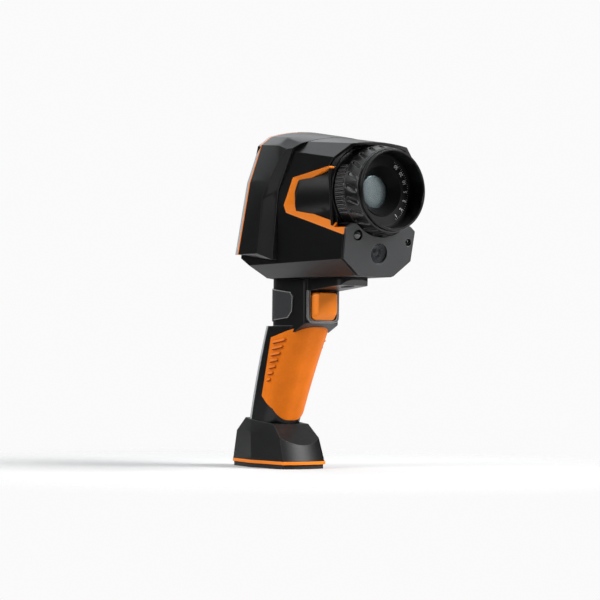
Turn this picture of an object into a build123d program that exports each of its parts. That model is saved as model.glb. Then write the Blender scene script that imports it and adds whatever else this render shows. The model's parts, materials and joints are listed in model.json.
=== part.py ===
"""Pistol-grip thermal imaging camera: a tilted rear display, an interchangeable
infrared lens with a ribbed focus ring, and a battery pack that slides out of
the handle.

The frame is +Z up, with the origin at the middle of the face it stands on. The
lens looks along -Y and its axis lies in the symmetry plane X = 0. Seen from
behind, as the user holds it, the right-hand side is -X.
"""
import os
from math import atan2, copysign, cos, hypot, radians, sin, tan

from build123d import *

# ---------------------------------------------------------------- fits
WALL = 2.2                # moulded shell wall
RUNNING_FIT = 0.08        # radial gap of a turning or sliding fit
LOOSE_FIT = 0.35          # gap all round a button or cover that moves freely
SEAM = 0.05               # gap between fixed pieces that lie against each other

# ---------------------------------------------------------------- foot
FOOT_HALF_WIDTH = 18.1    # at the front and side corners
FOOT_FRONT = -36.7
FOOT_BULGE = 4.0          # how far the bowed front face stands out
FOOT_SIDE_CORNER = 2.2    # where the sides turn in towards the back
FOOT_BACK = 35.9
FOOT_BACK_HALF_WIDTH = 9.5
SOLE_THICKNESS = 3.0      # black plate that the camera stands on
SOLE_SETBACK = 0.7
FOOT_LINE_HEIGHT = 2.3    # orange line above the sole
FOOT_LINE_PROUD = 0.5
SHOULDER_INSET = 1.1      # side draft up to the shoulder
SHOULDER_FRONT = (5.7, 21.8)    # draft and height of the shoulder's front corners
SHOULDER_SIDE = (1.8, 26.2)     # how far back the side corners are, and their height
SHOULDER_BACK = (2.7, 25.5)     # draft and height of the back corners
FOOT_TOP = 33.4           # where the middle of the foot meets the grip
FOOT_TOP_TILT = 6.2       # the foot's top slopes down to the front
FOOT_COLLAR = 0.6         # how far the foot's top stands out from the grip
GRIP_FOOT = 28.0          # lowest section of the grip, before the foot trims it

# ---------------------------------------------------------------- grip and neck
GRIP_TOP = 100.5
GRIP_LOW_CENTRE = -1.8    # Y of the grip's middle at the foot
GRIP_HIGH_CENTRE = -27.2  # and under the trigger
GRIP_LOW_HALF_WIDTH = 15.0
GRIP_HIGH_HALF_WIDTH = 16.0
GRIP_LOW_HALF_DEPTH = 18.3
GRIP_HIGH_HALF_DEPTH = 23.4
GRIP_WAIST_HEIGHT = 58.0
GRIP_WAIST_BOW = 1.4      # how far the waist bows back from a straight grip
GRIP_CORNER = 12.5
NECK_BACK = -9.6
NECK_FRONT = -56.2
NECK_HALF_WIDTH = 15.2
NECK_BACK_CORNER = 14.0
NECK_FRONT_CORNER = 3.0
SADDLE_HALF_WIDTH = 13.0
SADDLE_TIP = -96.0
SADDLE_DEPTH = 5.4        # below the head, at the tip
SADDLE_ROOT_DEPTH = 8.6   # below the head, at the neck
NECK_SLOPE = 4.5          # how far the neck runs down over the grip
NECK_SLOPE_RUN = 12.2     # length of the slope under the trigger
GRIP_COVER = 1.1          # thickness of the soft cover
GRIP_RIBS = 7
GRIP_RIB_PITCH = 4.55
GRIP_RIB_HEIGHT = 0.8
GRIP_RIB_WIDTH = 1.7
GRIP_RIB_SLANT = 8.0      # degrees
GRIP_RIB_LONGEST = 15.0   # the top rib
GRIP_RIB_SHORTEST = 4.5   # the bottom rib
GRIP_RIB_HIGH = 89.6      # height of the top rib
GRIP_RIB_HIGH_Y = -22.0   # rear end of the top rib
GRIP_RIB_LOW_Y = -14.5    # and of the bottom rib
SPINE_HALF_WIDTH = 6.0
SPINE_THICKNESS = 0.7
PAD_THICKNESS = 0.8

# ---------------------------------------------------------------- trigger
TRIGGER_HALF_WIDTH = 10.4
TRIGGER_BOTTOM = 104.4
TRIGGER_TOP = 124.0
TRIGGER_CORNER = 3.6
TRIGGER_BEVEL = 5.0       # depth of the bevels round the front face
TRIGGER_BEVEL_SIDE = 2.4  # width of the bevel on each side
TRIGGER_BEVEL_LOW = 4.2   # and at the bottom
TRIGGER_BEVEL_TOP = 0.6
TRIGGER_PROUD = 6.2       # ahead of the neck
TRIGGER_LENGTH = 15.0
TRIGGER_TRAVEL = 3.0
TRIGGER_RIM = 1.5         # thickness of the pale rim round the trigger
TRIGGER_RIM_WIDTH = 1.9
TRIGGER_GAP = 1.3         # open gap beside the trigger
SPRING_RADIUS = 2.8
SPRING_WIRE = 0.6
SPRING_TURNS = 4

# ---------------------------------------------------------------- head
HEAD_BOTTOM = 133.4
HEAD_REAR = -12.0         # depth of the rear section
HEAD_FRONT = -124.0       # depth of the front section
# half-width, and height above the bottom of the head, at the rear and the front
KEEL = (29.2, 0.2), (14.0, 0.2)
CHINE = (41.7, 8.5), (28.6, 11.4)
WAIST = (48.6, 49.0), (30.6, 44.0)
SHOULDER = (46.1, 95.2), (34.2, 77.6)
ROOF_EDGE = (42.8, 98.0), (22.8, 88.6)
CROWN = (0.0, 107.0), (0.0, 90.4)
LENS_Z = HEAD_BOTTOM + 58.1
REAR_CORNER_WIDTH = 9.0   # flat middle of the lower rear wall, each side

# ---------------------------------------------------------------- display housing
SCREEN_TILT = 15.0        # the display leans forward at the top
SCREEN_FOOT_Y = -17.4     # lowest rear edge
SCREEN_FOOT_Z = HEAD_BOTTOM + 16.3
FRAME_HALF_WIDTH = 47.5
FACET_HALF_WIDTH = 42.2   # front edge of the second facet
BEZEL_THICKNESS = 2.4
DISPLAY_LINE = 1.1        # thickness of the orange line behind the frame
WINDOW_HALF_WIDTH = 37.0
WINDOW_LOW = 20.5         # edges of the display window up the tilted face
WINDOW_HIGH = 76.5
WINDOW_THICKNESS = 1.0
LCD_THICKNESS = 4.5
BOARD_THICKNESS = 1.6
BOARD_DEPTH = 12.5        # main board and chassis, behind the display face
BOARD_SIZE = (76.0, 62.0)
BOARD_HEIGHT = 41.0       # middle of the board up the tilted face
BOARD_CHIPS = {           # middle and size of each large chip
    (-16.0, 50.0): (17.0, 17.0),
    (14.0, 50.0): (12.0, 14.0),
    (4.0, 26.0): (22.0, 9.0),
}
CHIP_HEIGHT = 1.6
CHASSIS_DEPTH = 16.5
CHASSIS_THICKNESS = 1.5
KEY_ROW = 10.6            # height of the keys up the tilted face
KEY_SPACING = 19.5
KEY_HALF_LENGTH = 6.0
KEY_HALF_HEIGHT = 3.0
KEY_CORNER = 2.4
KEY_TRAVEL = 0.8
KEY_FLANGE = 1.0          # flange that keeps a key behind the bezel
SWITCH_HEIGHT = 0.6       # dome switch under each key
KEYPAD_DEPTH = 6.4
NAV_HOLE_RADIUS = 8.2
NAV_CAP_RADIUS = 6.8
NAV_PIVOT_DEPTH = 4.6
NAV_GIMBAL_SIDE = 9.0
NAV_BLOCK_SIDE = 5.4
NAV_PIN_RADIUS = 0.6
NAV_STEM_RADIUS = 1.8

# ---------------------------------------------------------------- lens
MOUNT_REAR = -104.2       # rear and front face of the lens flange
MOUNT_FRONT = -107.2
MOUNT_RADIUS = 31.9
MOUNT_HUB_RADIUS = 20.6
MOUNT_HUB_LENGTH = 8.2
BAYONET_RADIUS = 30.1
BAYONET_LENGTH = 10.4
BAYONET_RIBS = 13         # in each of the two ribbed patches
BAYONET_RIB_HEIGHT = 0.9
BAYONET_RIB_WIDTH = 1.3
BAYONET_RIB_PITCH = 5.2   # degrees
FOCUS_REAR = -118.5
FOCUS_LENGTH = 12.6
FOCUS_REAR_RADIUS = 30.9
FOCUS_FRONT_RADIUS = 28.8
FOCUS_SLOTS = 22
FOCUS_SLOT_DEPTH = 0.9
FOCUS_SLOT_WIDTH = 3.6
FOCUS_SLOT_SKEW = 32.0
RIM_LENGTH = 2.3
RIM_RADIUS = 27.7
BARREL_RADIUS = 26.9      # outside of the barrel under the focus ring
BARREL_WALL = 1.0
CELL_FRONT = -121.0
CELL_LENGTH = 8.0
CELL_TUBE_LENGTH = 7.0    # behind the cell, through the mount
CELL_TUBE_RADIUS = 13.8
GLASS_RADIUS = 11.4
FAIRING_REAR = -72.0
FAIRING_REAR_RADIUS = 38.0
FAIRING_FRONT_RADIUS = 31.4
CHEEK_DEPTH = 5.2         # sunk floor inside the side accents
ACCENT_DEPTH = 5.0

# ---------------------------------------------------------------- front plate
PLATE_TILT = 10.0         # the plate looks slightly down
PLATE_Y = -117.4          # on the height of the camera window
PLATE_Z = HEAD_BOTTOM + 14.6
PLATE_THICKNESS = 2.2
PLATE_BOW = 0.8           # how far the middle stands out
CAMERA_RADIUS = 7.0
CAMERA_RISE = 1.1
LAMP_RADIUS = 2.6
LAMP_X = 24.8
LAMP_RISE = 9.6
RELEASE_RADIUS = 3.4
RELEASE_X = -19.6
RELEASE_RISE = 13.0
RELEASE_CAP = 1.6
RELEASE_LENGTH = 7.2
RELEASE_STEM_BORE = 1.8
SLEEVE_WALL = 1.2
RELEASE_HOLE = (RELEASE_X, RELEASE_RISE, RELEASE_RADIUS)
LAMP_HOLE = (LAMP_X, LAMP_RISE, LAMP_RADIUS)
CAMERA_HOLE = (0.0, CAMERA_RISE, CAMERA_RADIUS)

# ---------------------------------------------------------------- battery
BAY_TILT = 19.5           # from upright, as the grip leans
BAY_FOOT_Y = 9.1          # where the bay's axis meets the floor
BATTERY_HALF_WIDTH = 11.0
BATTERY_HALF_DEPTH = 13.4
BATTERY_CORNER = 8.0
BATTERY_TOP = 96.0        # along the bay's axis
BATTERY_WALL = 1.4
BATTERY_LID_HALF_WIDTH = 12.2
BATTERY_LID_HALF_DEPTH = 14.8
BATTERY_LID_CORNER = 9.0
BATTERY_LIFT = 0.8        # lid above the floor

# ---------------------------------------------------------------- side port
PORT_Y = -84.0
PORT_Z = HEAD_BOTTOM + 21.0
PORT_HALF_LENGTH = 16.0
PORT_HALF_HEIGHT = 7.5
PORT_FLAP_THICKNESS = 1.8
PORT_FLAP_GAP = 1.6         # edge of the flap to the edge of the cut-out
PORT_POCKET = 2.6
PORT_PIN_RADIUS = 0.5

# ---------------------------------------------------------------- tripod socket
TRIPOD_Y = -84.0
TRIPOD_THREAD_RADIUS = 3.175
TRIPOD_INSERT_RADIUS = 5.0
TRIPOD_DEPTH = 9.0
TRIPOD_RECESS = 0.3

SCREW_RADIUS = 1.4
SCREW_HEAD_RADIUS = 2.5
BOSS_RADIUS = 3.6

# ---------------------------------------------------------------- planes and axes
LENS_AXIS = Axis((0, 0, LENS_Z), (0, 1, 0))
TILT = radians(SCREEN_TILT)
REAR_FACE = Plane(
    origin=(0, SCREEN_FOOT_Y, SCREEN_FOOT_Z),
    x_dir=(-1, 0, 0),
    z_dir=(0, cos(TILT), sin(TILT)),
)
REAR_AXIS = Axis(REAR_FACE.origin, REAR_FACE.z_dir)
PLATE_ANGLE = radians(PLATE_TILT)
PLATE_FACE = Plane(
    origin=(0, PLATE_Y, PLATE_Z),
    x_dir=(1, 0, 0),
    z_dir=(0, -cos(PLATE_ANGLE), -sin(PLATE_ANGLE)),
)
BAY_ANGLE = radians(BAY_TILT)
BAY = Plane(
    origin=(0, BAY_FOOT_Y, 0),
    x_dir=(1, 0, 0),
    z_dir=(0, -sin(BAY_ANGLE), cos(BAY_ANGLE)),
)
FAR = 400.0               # longer than the camera, for cutting tools


def lerp(start, end, share):
    return start + (end - start) * share


def at(plane, depth):
    """The same plane moved back into the camera by depth."""
    return plane.offset(-depth)


# ---------------------------------------------------------------- head shapes
def head_section(y):
    """Closed outline of the head at depth y: right side up, left side down."""
    share = (y - HEAD_REAR) / (HEAD_FRONT - HEAD_REAR)
    right = []
    for rear, front in (KEEL, CHINE, WAIST, SHOULDER, ROOF_EDGE, CROWN):
        height = HEAD_BOTTOM + lerp(rear[1], front[1], share)
        right.append((lerp(rear[0], front[0], share), height))
    left = [(-x, z) for x, z in reversed(right[:-1])]
    return right + left


def inset(outline, depth):
    """A convex outline, given anticlockwise, with every side moved in by depth."""
    moved = []
    for before, corner, after in zip(outline[-1:] + outline, outline, outline[1:] + outline[:1]):
        sides = []
        for start, end in ((before, corner), (corner, after)):
            run, rise = end[0] - start[0], end[1] - start[1]
            size = hypot(run, rise)
            sides.append((-rise / size, run / size))
        (a, b), (c, d) = sides
        scale = depth / (1 + a * c + b * d)
        moved.append((corner[0] + (a + c) * scale, corner[1] + (b + d) * scale))
    return moved


def head_solid(depth, rear=HEAD_REAR):
    """The head's faceted body from depth rear on, with every wall moved in by depth."""
    with BuildPart() as solid:
        for y in (rear - depth, HEAD_FRONT):
            outline = inset(head_section(y), depth)
            with BuildSketch(Plane.XZ.offset(-y)):
                with BuildLine():
                    Polyline(*outline[6:], *outline[:5])
                    ThreePointArc(outline[4], outline[5], outline[6])
                make_face()
        loft(ruled=True)
        for side in (-1, 1):
            corner = Plane(
                origin=(side * REAR_CORNER_WIDTH, HEAD_REAR - depth, HEAD_BOTTOM),
                z_dir=(side * 0.40, 0.46, -0.79),
            )
            split(bisect_by=corner.offset(-depth), keep=Keep.BOTTOM)
    return solid.part


def side_cutter(points, half_width=FAR):
    """A prism across the camera from an outline in the YZ plane."""
    with BuildPart() as cutter:
        with BuildSketch(Plane.YZ):
            with BuildLine():
                Polyline(*points, close=True)
            make_face()
        extrude(amount=half_width, both=True)
    return cutter.part


def rear_edge(z):
    return SCREEN_FOOT_Y - tan(TILT) * (z - SCREEN_FOOT_Z)


FRAME_TOP = HEAD_BOTTOM + 108.0       # above the crown; the roof trims it
OUTER_FACET = [                       # front edge of the first facet
    (-43.4, SCREEN_FOOT_Z + 0.1),
    (-48.4, HEAD_BOTTOM + 54.0),
    (-79.3, FRAME_TOP),
]
INNER_FACET = [                       # front edge of the second facet
    (-53.5, SCREEN_FOOT_Z - 4.3),
    (-59.8, HEAD_BOTTOM + 59.3),
    (-87.5, FRAME_TOP),
]
FRAME_LEAN_HEIGHT = 65.6              # above it the sides lean in
# half-width and height of the side's top edge and of the roof's edge, and the
# crown's height, at the rear, where the two facets meet, and at the front
FRAME_ROOF = {
    -14.0: ((40.4, 94.4), (31.6, 100.5), 108.1),
    -64.5: ((45.0, 89.8), (38.5, 95.9), 99.8),
    -85.0: ((43.4, 82.6), (34.6, 88.8), 96.4),
}


def frame_envelope():
    """Everything below the crowned roof and its side chamfers."""
    with BuildPart() as envelope:
        for y, (side, edge, crown) in FRAME_ROOF.items():
            corners = ((FRAME_HALF_WIDTH, 0.0), (FRAME_HALF_WIDTH, FRAME_LEAN_HEIGHT), side, edge)
            right = [(x, HEAD_BOTTOM + height) for x, height in corners]
            left = [(-x, z) for x, z in reversed(right)]
            with BuildSketch(Plane.XZ.offset(-y)):
                with BuildLine():
                    Polyline(*left, *right)
                    ThreePointArc(right[-1], (0, HEAD_BOTTOM + crown), left[0])
                make_face()
        loft(ruled=True)
    return envelope.part


def frame_solid():
    """The display housing's outer shape, with its two facets on each side."""
    rear_side = [(rear_edge(FRAME_TOP), FRAME_TOP), (SCREEN_FOOT_Y, SCREEN_FOOT_Z)]
    with BuildPart() as frame:
        with BuildSketch(Plane.YZ):
            with BuildLine():
                Polyline(*rear_side, *INNER_FACET, close=True)
            make_face()
        extrude(amount=FACET_HALF_WIDTH, both=True)
        for side in (-1, 1):
            for x, facet in ((FACET_HALF_WIDTH, INNER_FACET), (FRAME_HALF_WIDTH, OUTER_FACET)):
                with BuildSketch(Plane.YZ.offset(side * x)):
                    with BuildLine():
                        Polyline(*rear_side, *facet, close=True)
                    make_face()
            loft(ruled=True)
        add(frame_envelope(), mode=Mode.INTERSECT)
    return frame.part


head = head_solid(0)
head_cavity = head_solid(WALL)
head_lining = head_solid(WALL + SEAM)
frame_shape = frame_solid()

# Side notch round the lens fairing, as seen from the side: outer edge of the
# accent, and the edge of the sunk cheek inside it.
NOTCH = [
    (-107.4, LENS_Z + 15.6),
    (-72.7, LENS_Z + 9.5),
    (-63.9, LENS_Z - 9.0),
    (-65.8, LENS_Z - 14.2),
    (-119.4, LENS_Z - 31.2),
    (-140.0, LENS_Z - 31.2),
    (-140.0, LENS_Z + 15.6),
]
CHEEK = [
    (-107.6, LENS_Z + 14.6),
    (-76.8, LENS_Z + 6.2),
    (-72.2, LENS_Z - 8.4),
    (-73.2, LENS_Z - 10.8),
    (-119.0, LENS_Z - 26.0),
    (-141.0, LENS_Z - 26.0),
    (-141.0, LENS_Z + 14.6),
]
PLATE_BACK_LOW = (PLATE_Y + PLATE_THICKNESS + 2.8, PLATE_Z - 16.0)
PLATE_BACK_HIGH = (PLATE_Y + PLATE_THICKNESS - 3.2, PLATE_Z + 18.2)
FRONT_SPACE = [                       # everything ahead of the body's front edge
    (-118.6, FRAME_TOP),
    (-118.3, LENS_Z + 31.2),
    (-112.9, LENS_Z + 21.1),
    (-107.4, LENS_Z + 15.6),
    (-107.4, PLATE_BACK_HIGH[1]),
    PLATE_BACK_HIGH,
    PLATE_BACK_LOW,
    (-150.0, PLATE_BACK_LOW[1]),
    (-150.0, FRAME_TOP),
]

# ---------------------------------------------------------------- side port
def head_side(y, z):
    """Half-width of the head's side, between the chine and the shoulder."""
    chine, waist, shoulder = head_section(y)[1:4]
    low, high = (chine, waist) if z < waist[1] else (waist, shoulder)
    return lerp(low[0], high[0], (z - low[1]) / (high[1] - low[1]))


PORT_SLOPE_Y = (head_side(PORT_Y + 1, PORT_Z) - head_side(PORT_Y - 1, PORT_Z)) / 2
PORT_SLOPE_Z = (head_side(PORT_Y, PORT_Z + 1) - head_side(PORT_Y, PORT_Z - 1)) / 2
PORT_FACE = Plane(
    origin=(head_side(PORT_Y, PORT_Z), PORT_Y, PORT_Z),
    x_dir=(PORT_SLOPE_Y, 1, 0),
    z_dir=(1, -PORT_SLOPE_Y, -PORT_SLOPE_Z),
)

# ---------------------------------------------------------------- main housing
with BuildPart() as housing:
    add(head)
    split(bisect_by=REAR_FACE, keep=Keep.BOTTOM)
    add(head_cavity, mode=Mode.SUBTRACT)
    add(frame_shape, mode=Mode.SUBTRACT)
    add(side_cutter(FRONT_SPACE), mode=Mode.SUBTRACT)
    add(side_cutter(NOTCH), mode=Mode.SUBTRACT)
    with Locations((0, TRIPOD_Y, HEAD_BOTTOM)):
        Cylinder(TRIPOD_INSERT_RADIUS + SEAM, WALL * 3, mode=Mode.SUBTRACT)
    with BuildSketch(PORT_FACE.offset(WALL)):
        RectangleRounded(2 * PORT_HALF_LENGTH, 2 * PORT_HALF_HEIGHT, 2.0)
    extrude(amount=-3 * WALL, mode=Mode.SUBTRACT)

# ---------------------------------------------------------------- display housing
with BuildPart() as display_frame:
    add(frame_shape)
    split(bisect_by=at(REAR_FACE, BEZEL_THICKNESS + DISPLAY_LINE), keep=Keep.BOTTOM)
    add(head_cavity, mode=Mode.SUBTRACT)
    with BuildSketch(at(REAR_FACE, BEZEL_THICKNESS)):
        with Locations((0, 14.0)):
            RectangleRounded(82.0, 20.0, 2.0)
    extrude(amount=-14.0, mode=Mode.SUBTRACT)
display_frame.part.label = "display_frame"

with BuildPart() as display_line:
    add(frame_shape)
    split(bisect_by=at(REAR_FACE, BEZEL_THICKNESS + SEAM), keep=Keep.BOTTOM)
    split(bisect_by=at(REAR_FACE, BEZEL_THICKNESS + DISPLAY_LINE - SEAM), keep=Keep.TOP)
    with BuildSketch(REAR_FACE):
        with Locations((0, 41.0)):
            RectangleRounded(2 * WINDOW_HALF_WIDTH + 5.0, 74.0, 2.0)
    extrude(amount=-10.0, mode=Mode.SUBTRACT)
display_line.part.label = "display_line"

with BuildPart() as rear_bezel:
    add(frame_shape)
    split(bisect_by=at(REAR_FACE, BEZEL_THICKNESS), keep=Keep.TOP)
    window_middle = (WINDOW_LOW + WINDOW_HIGH) / 2
    window_height = WINDOW_HIGH - WINDOW_LOW
    with BuildSketch(REAR_FACE):
        with Locations((0, window_middle)):
            RectangleRounded(2 * WINDOW_HALF_WIDTH, window_height, 2.5)
    extrude(amount=-WINDOW_THICKNESS - 2 * SEAM, mode=Mode.SUBTRACT)
    with BuildSketch(REAR_FACE):
        with Locations((0, window_middle)):
            RectangleRounded(2 * WINDOW_HALF_WIDTH - 3.0, window_height - 3.0, 1.5)
        with Locations((0, KEY_ROW)):
            Circle(NAV_HOLE_RADIUS)
        with Locations((-KEY_SPACING, KEY_ROW), (KEY_SPACING, KEY_ROW)):
            RectangleRounded(
                2 * (KEY_HALF_LENGTH + LOOSE_FIT), 2 * (KEY_HALF_HEIGHT + LOOSE_FIT),
                KEY_CORNER + LOOSE_FIT)
    extrude(amount=-BEZEL_THICKNESS, mode=Mode.SUBTRACT)
    with BuildSketch(at(REAR_FACE, BEZEL_THICKNESS)):
        for x in (-10.6, 10.6, -29.0, 29.0):
            with Locations((x, KEY_ROW)):
                Circle(1.6)
    extrude(amount=-(KEYPAD_DEPTH - BEZEL_THICKNESS))
rear_bezel.part.label = "rear_bezel"

with BuildPart() as display_window:
    with BuildSketch(at(REAR_FACE, 2 * SEAM)):
        with Locations((0, window_middle)):
            RectangleRounded(2 * (WINDOW_HALF_WIDTH - SEAM), window_height - 2 * SEAM, 2.5)
    extrude(amount=-WINDOW_THICKNESS)
display_window.part.label = "display_window"

with BuildPart() as lcd_module:
    with BuildSketch(at(REAR_FACE, BEZEL_THICKNESS + SEAM)):
        with Locations((0, window_middle)):
            Rectangle(2 * WINDOW_HALF_WIDTH + 3.0, window_height + 1.0)
    extrude(amount=-LCD_THICKNESS)
lcd_module.part.label = "lcd_module"

# ---------------------------------------------------------------- boards
with BuildPart() as chassis:
    with BuildSketch(at(REAR_FACE, CHASSIS_DEPTH)):
        Rectangle(FAR, FAR)
    extrude(amount=-CHASSIS_THICKNESS)
    add(head_lining, mode=Mode.INTERSECT)
    with BuildSketch(at(REAR_FACE, CHASSIS_DEPTH)):
        with Locations((0, -8.0)):
            Rectangle(FAR, 20.0)
        with Locations((0, 45.0)):
            RectangleRounded(34.0, 26.0, 3.0)
    extrude(amount=-CHASSIS_THICKNESS, mode=Mode.SUBTRACT)
    with BuildSketch(at(REAR_FACE, CHASSIS_DEPTH)):
        with Locations((0, BOARD_HEIGHT)):
            with GridLocations(BOARD_SIZE[0] - 8.0, BOARD_SIZE[1] - 8.0, 2, 2):
                Circle(2.2)
    extrude(amount=CHASSIS_DEPTH - BOARD_DEPTH - BOARD_THICKNESS - SEAM)
chassis.part.label = "chassis"

with BuildPart() as main_board:
    with BuildSketch(at(REAR_FACE, BOARD_DEPTH)):
        with Locations((0, BOARD_HEIGHT)):
            Rectangle(*BOARD_SIZE)
    extrude(amount=-BOARD_THICKNESS)
    for middle, size in BOARD_CHIPS.items():
        with BuildSketch(at(REAR_FACE, BOARD_DEPTH)):
            with Locations(middle):
                Rectangle(*size)
        extrude(amount=CHIP_HEIGHT)
main_board.part.label = "main_board"

with BuildPart() as keypad_board:
    with BuildSketch(at(REAR_FACE, KEYPAD_DEPTH + SEAM)):
        with Locations((0, KEY_ROW)):
            Rectangle(64.0, 13.0)
    extrude(amount=-BOARD_THICKNESS)
    for side in (-1, 1):
        with BuildSketch(at(REAR_FACE, KEYPAD_DEPTH + SEAM)):
            with Locations((side * KEY_SPACING, KEY_ROW)):
                Circle(2.4)
        extrude(amount=SWITCH_HEIGHT)
keypad_board.part.label = "keypad_board"

# ---------------------------------------------------------------- keys
KEY_STEM = KEYPAD_DEPTH - BEZEL_THICKNESS - LOOSE_FIT - KEY_FLANGE - SWITCH_HEIGHT - KEY_TRAVEL - 0.25


def rear_key(side):
    """A rocker-free press key with a flange that keeps it behind the bezel."""
    with BuildPart() as key:
        with BuildSketch(at(REAR_FACE, BEZEL_THICKNESS + LOOSE_FIT)):
            with Locations((side * KEY_SPACING, KEY_ROW)):
                RectangleRounded(
                    2 * (KEY_HALF_LENGTH + KEY_FLANGE), 2 * (KEY_HALF_HEIGHT + KEY_FLANGE), 3.0)
        extrude(amount=-KEY_FLANGE)
        with BuildSketch(at(REAR_FACE, BEZEL_THICKNESS + LOOSE_FIT)):
            with Locations((side * KEY_SPACING, KEY_ROW)):
                RectangleRounded(2 * KEY_HALF_LENGTH, 2 * KEY_HALF_HEIGHT, KEY_CORNER)
        extrude(amount=BEZEL_THICKNESS + LOOSE_FIT + 0.9)
        fillet(key.edges().group_by(REAR_AXIS)[-1], 0.5)
        with BuildSketch(at(REAR_FACE, BEZEL_THICKNESS + LOOSE_FIT + KEY_FLANGE)):
            with Locations((side * KEY_SPACING, KEY_ROW)):
                Circle(1.8)
        extrude(amount=-KEY_STEM)
    return key.part


key_right = rear_key(1)
key_right.label = "key_right"
key_left = rear_key(-1)
key_left.label = "key_left"

# ---------------------------------------------------------------- five-way control
NAV = at(REAR_FACE, NAV_PIVOT_DEPTH)
NAV_HALF_THICK = 0.8
CRADLE_INNER = NAV_GIMBAL_SIDE + 0.8

with BuildPart() as nav_cradle:
    with BuildSketch(at(REAR_FACE, KEYPAD_DEPTH)):
        with Locations((0, KEY_ROW)):
            Rectangle(CRADLE_INNER + 3.0, CRADLE_INNER + 3.0)
            Rectangle(CRADLE_INNER, CRADLE_INNER, mode=Mode.SUBTRACT)
    extrude(amount=KEYPAD_DEPTH - NAV_PIVOT_DEPTH + NAV_HALF_THICK + 0.4)
    with BuildSketch(Plane(origin=NAV.from_local_coords((0, KEY_ROW, 0)), z_dir=NAV.x_dir)):
        Circle(NAV_PIN_RADIUS + RUNNING_FIT)
    extrude(amount=CRADLE_INNER, both=True, mode=Mode.SUBTRACT)
nav_cradle.part.label = "nav_cradle"

with BuildPart() as nav_gimbal:
    with BuildSketch(NAV.offset(-NAV_HALF_THICK)):
        with Locations((0, KEY_ROW)):
            Rectangle(NAV_GIMBAL_SIDE, NAV_GIMBAL_SIDE)
            Rectangle(NAV_BLOCK_SIDE + 0.8, NAV_BLOCK_SIDE + 0.8, mode=Mode.SUBTRACT)
    extrude(amount=2 * NAV_HALF_THICK)
    for side in (-1, 1):
        start = NAV_GIMBAL_SIDE / 2 - 0.4
        with BuildSketch(
            Plane(origin=NAV.from_local_coords((side * start, KEY_ROW, 0)), z_dir=NAV.x_dir * side)
        ):
            Circle(NAV_PIN_RADIUS)
        extrude(amount=0.4 + (CRADLE_INNER - NAV_GIMBAL_SIDE) / 2 + 1.2)
    with BuildSketch(Plane(origin=NAV.from_local_coords((0, KEY_ROW, 0)), z_dir=NAV.y_dir)):
        Circle(NAV_PIN_RADIUS + RUNNING_FIT)
    extrude(amount=NAV_GIMBAL_SIDE / 2 - 0.3, both=True, mode=Mode.SUBTRACT)
nav_gimbal.part.label = "nav_gimbal"

with BuildPart() as nav_stick:
    with BuildSketch(NAV.offset(-NAV_HALF_THICK)):
        with Locations((0, KEY_ROW)):
            Rectangle(NAV_BLOCK_SIDE, NAV_BLOCK_SIDE)
    extrude(amount=2 * NAV_HALF_THICK)
    with BuildSketch(NAV):
        with Locations((0, KEY_ROW)):
            Circle(NAV_STEM_RADIUS)
    extrude(amount=NAV_PIVOT_DEPTH - 1.2)
    with BuildSketch(Plane(origin=NAV.from_local_coords((0, KEY_ROW, 0)), z_dir=NAV.y_dir)):
        Circle(NAV_PIN_RADIUS)
    extrude(amount=NAV_BLOCK_SIDE / 2 + 1.0, both=True)
nav_stick.part.label = "nav_stick"

with BuildPart() as nav_cap:
    with BuildSketch(at(REAR_FACE, 0.4)):
        with Locations((0, KEY_ROW)):
            Circle(NAV_CAP_RADIUS)
    extrude(amount=2.2)
    chamfer(nav_cap.edges().group_by(REAR_AXIS)[-1], 0.8)
    with BuildSketch(at(REAR_FACE, 2.6)):
        with Locations((0, KEY_ROW)):
            Circle(3.2)
    extrude(amount=2.4)
    with BuildSketch(at(REAR_FACE, 2.6)):
        with Locations((0, KEY_ROW)):
            Circle(NAV_STEM_RADIUS + RUNNING_FIT)
    extrude(amount=2.2, mode=Mode.SUBTRACT)
nav_cap.part.label = "nav_cap"

# ---------------------------------------------------------------- lens seat and side accents
def dome(edge, radius, height):
    """Arc on the lens axis from a disc's rim to its middle, height ahead of the rim."""
    curvature = (radius ** 2 + height ** 2) / (2 * abs(height))
    rise = curvature - (curvature ** 2 - radius ** 2 / 4) ** 0.5
    half_way = edge - height + copysign(rise, height)
    return ThreePointArc(
        (edge, LENS_Z + radius), (half_way, LENS_Z + radius / 2), (edge - height, LENS_Z))


def lens_ring(profile):
    """Solid of revolution about the lens axis from (depth, radius) corners."""
    with BuildPart() as ring:
        with BuildSketch(Plane.YZ):
            with BuildLine():
                Polyline(*[(y, LENS_Z + radius) for y, radius in profile], close=True)
            make_face()
        revolve(axis=LENS_AXIS)
    return ring.part


NOTCH_REAR = -58.0        # behind the notch, ahead of the display housing
notch_space = side_cutter(NOTCH)
cheek_space = side_cutter(CHEEK)
FAIRING_FRONT = MOUNT_REAR

with BuildPart() as fairing_limit:
    add(head_solid(0.6, NOTCH_REAR))
    add(cheek_space, mode=Mode.INTERSECT)
    add(head_lining)

with BuildPart() as cheeks:
    add(head_solid(CHEEK_DEPTH, NOTCH_REAR))
    add(head_solid(CHEEK_DEPTH + WALL, NOTCH_REAR), mode=Mode.SUBTRACT)
    add(notch_space, mode=Mode.INTERSECT)
    add(side_cutter(FRONT_SPACE), mode=Mode.SUBTRACT)
    add(lens_ring([
        (FAIRING_REAR + 20.0, 0.0),
        (FAIRING_REAR + 20.0, FAIRING_REAR_RADIUS - WALL),
        (FAIRING_REAR, FAIRING_REAR_RADIUS - WALL),
        (FAIRING_FRONT, FAIRING_FRONT_RADIUS - WALL),
        (FAIRING_FRONT, MOUNT_RADIUS + 0.6),
        (HEAD_FRONT, MOUNT_RADIUS + 0.6),
        (HEAD_FRONT, 0.0),
    ]), mode=Mode.SUBTRACT)



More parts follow.
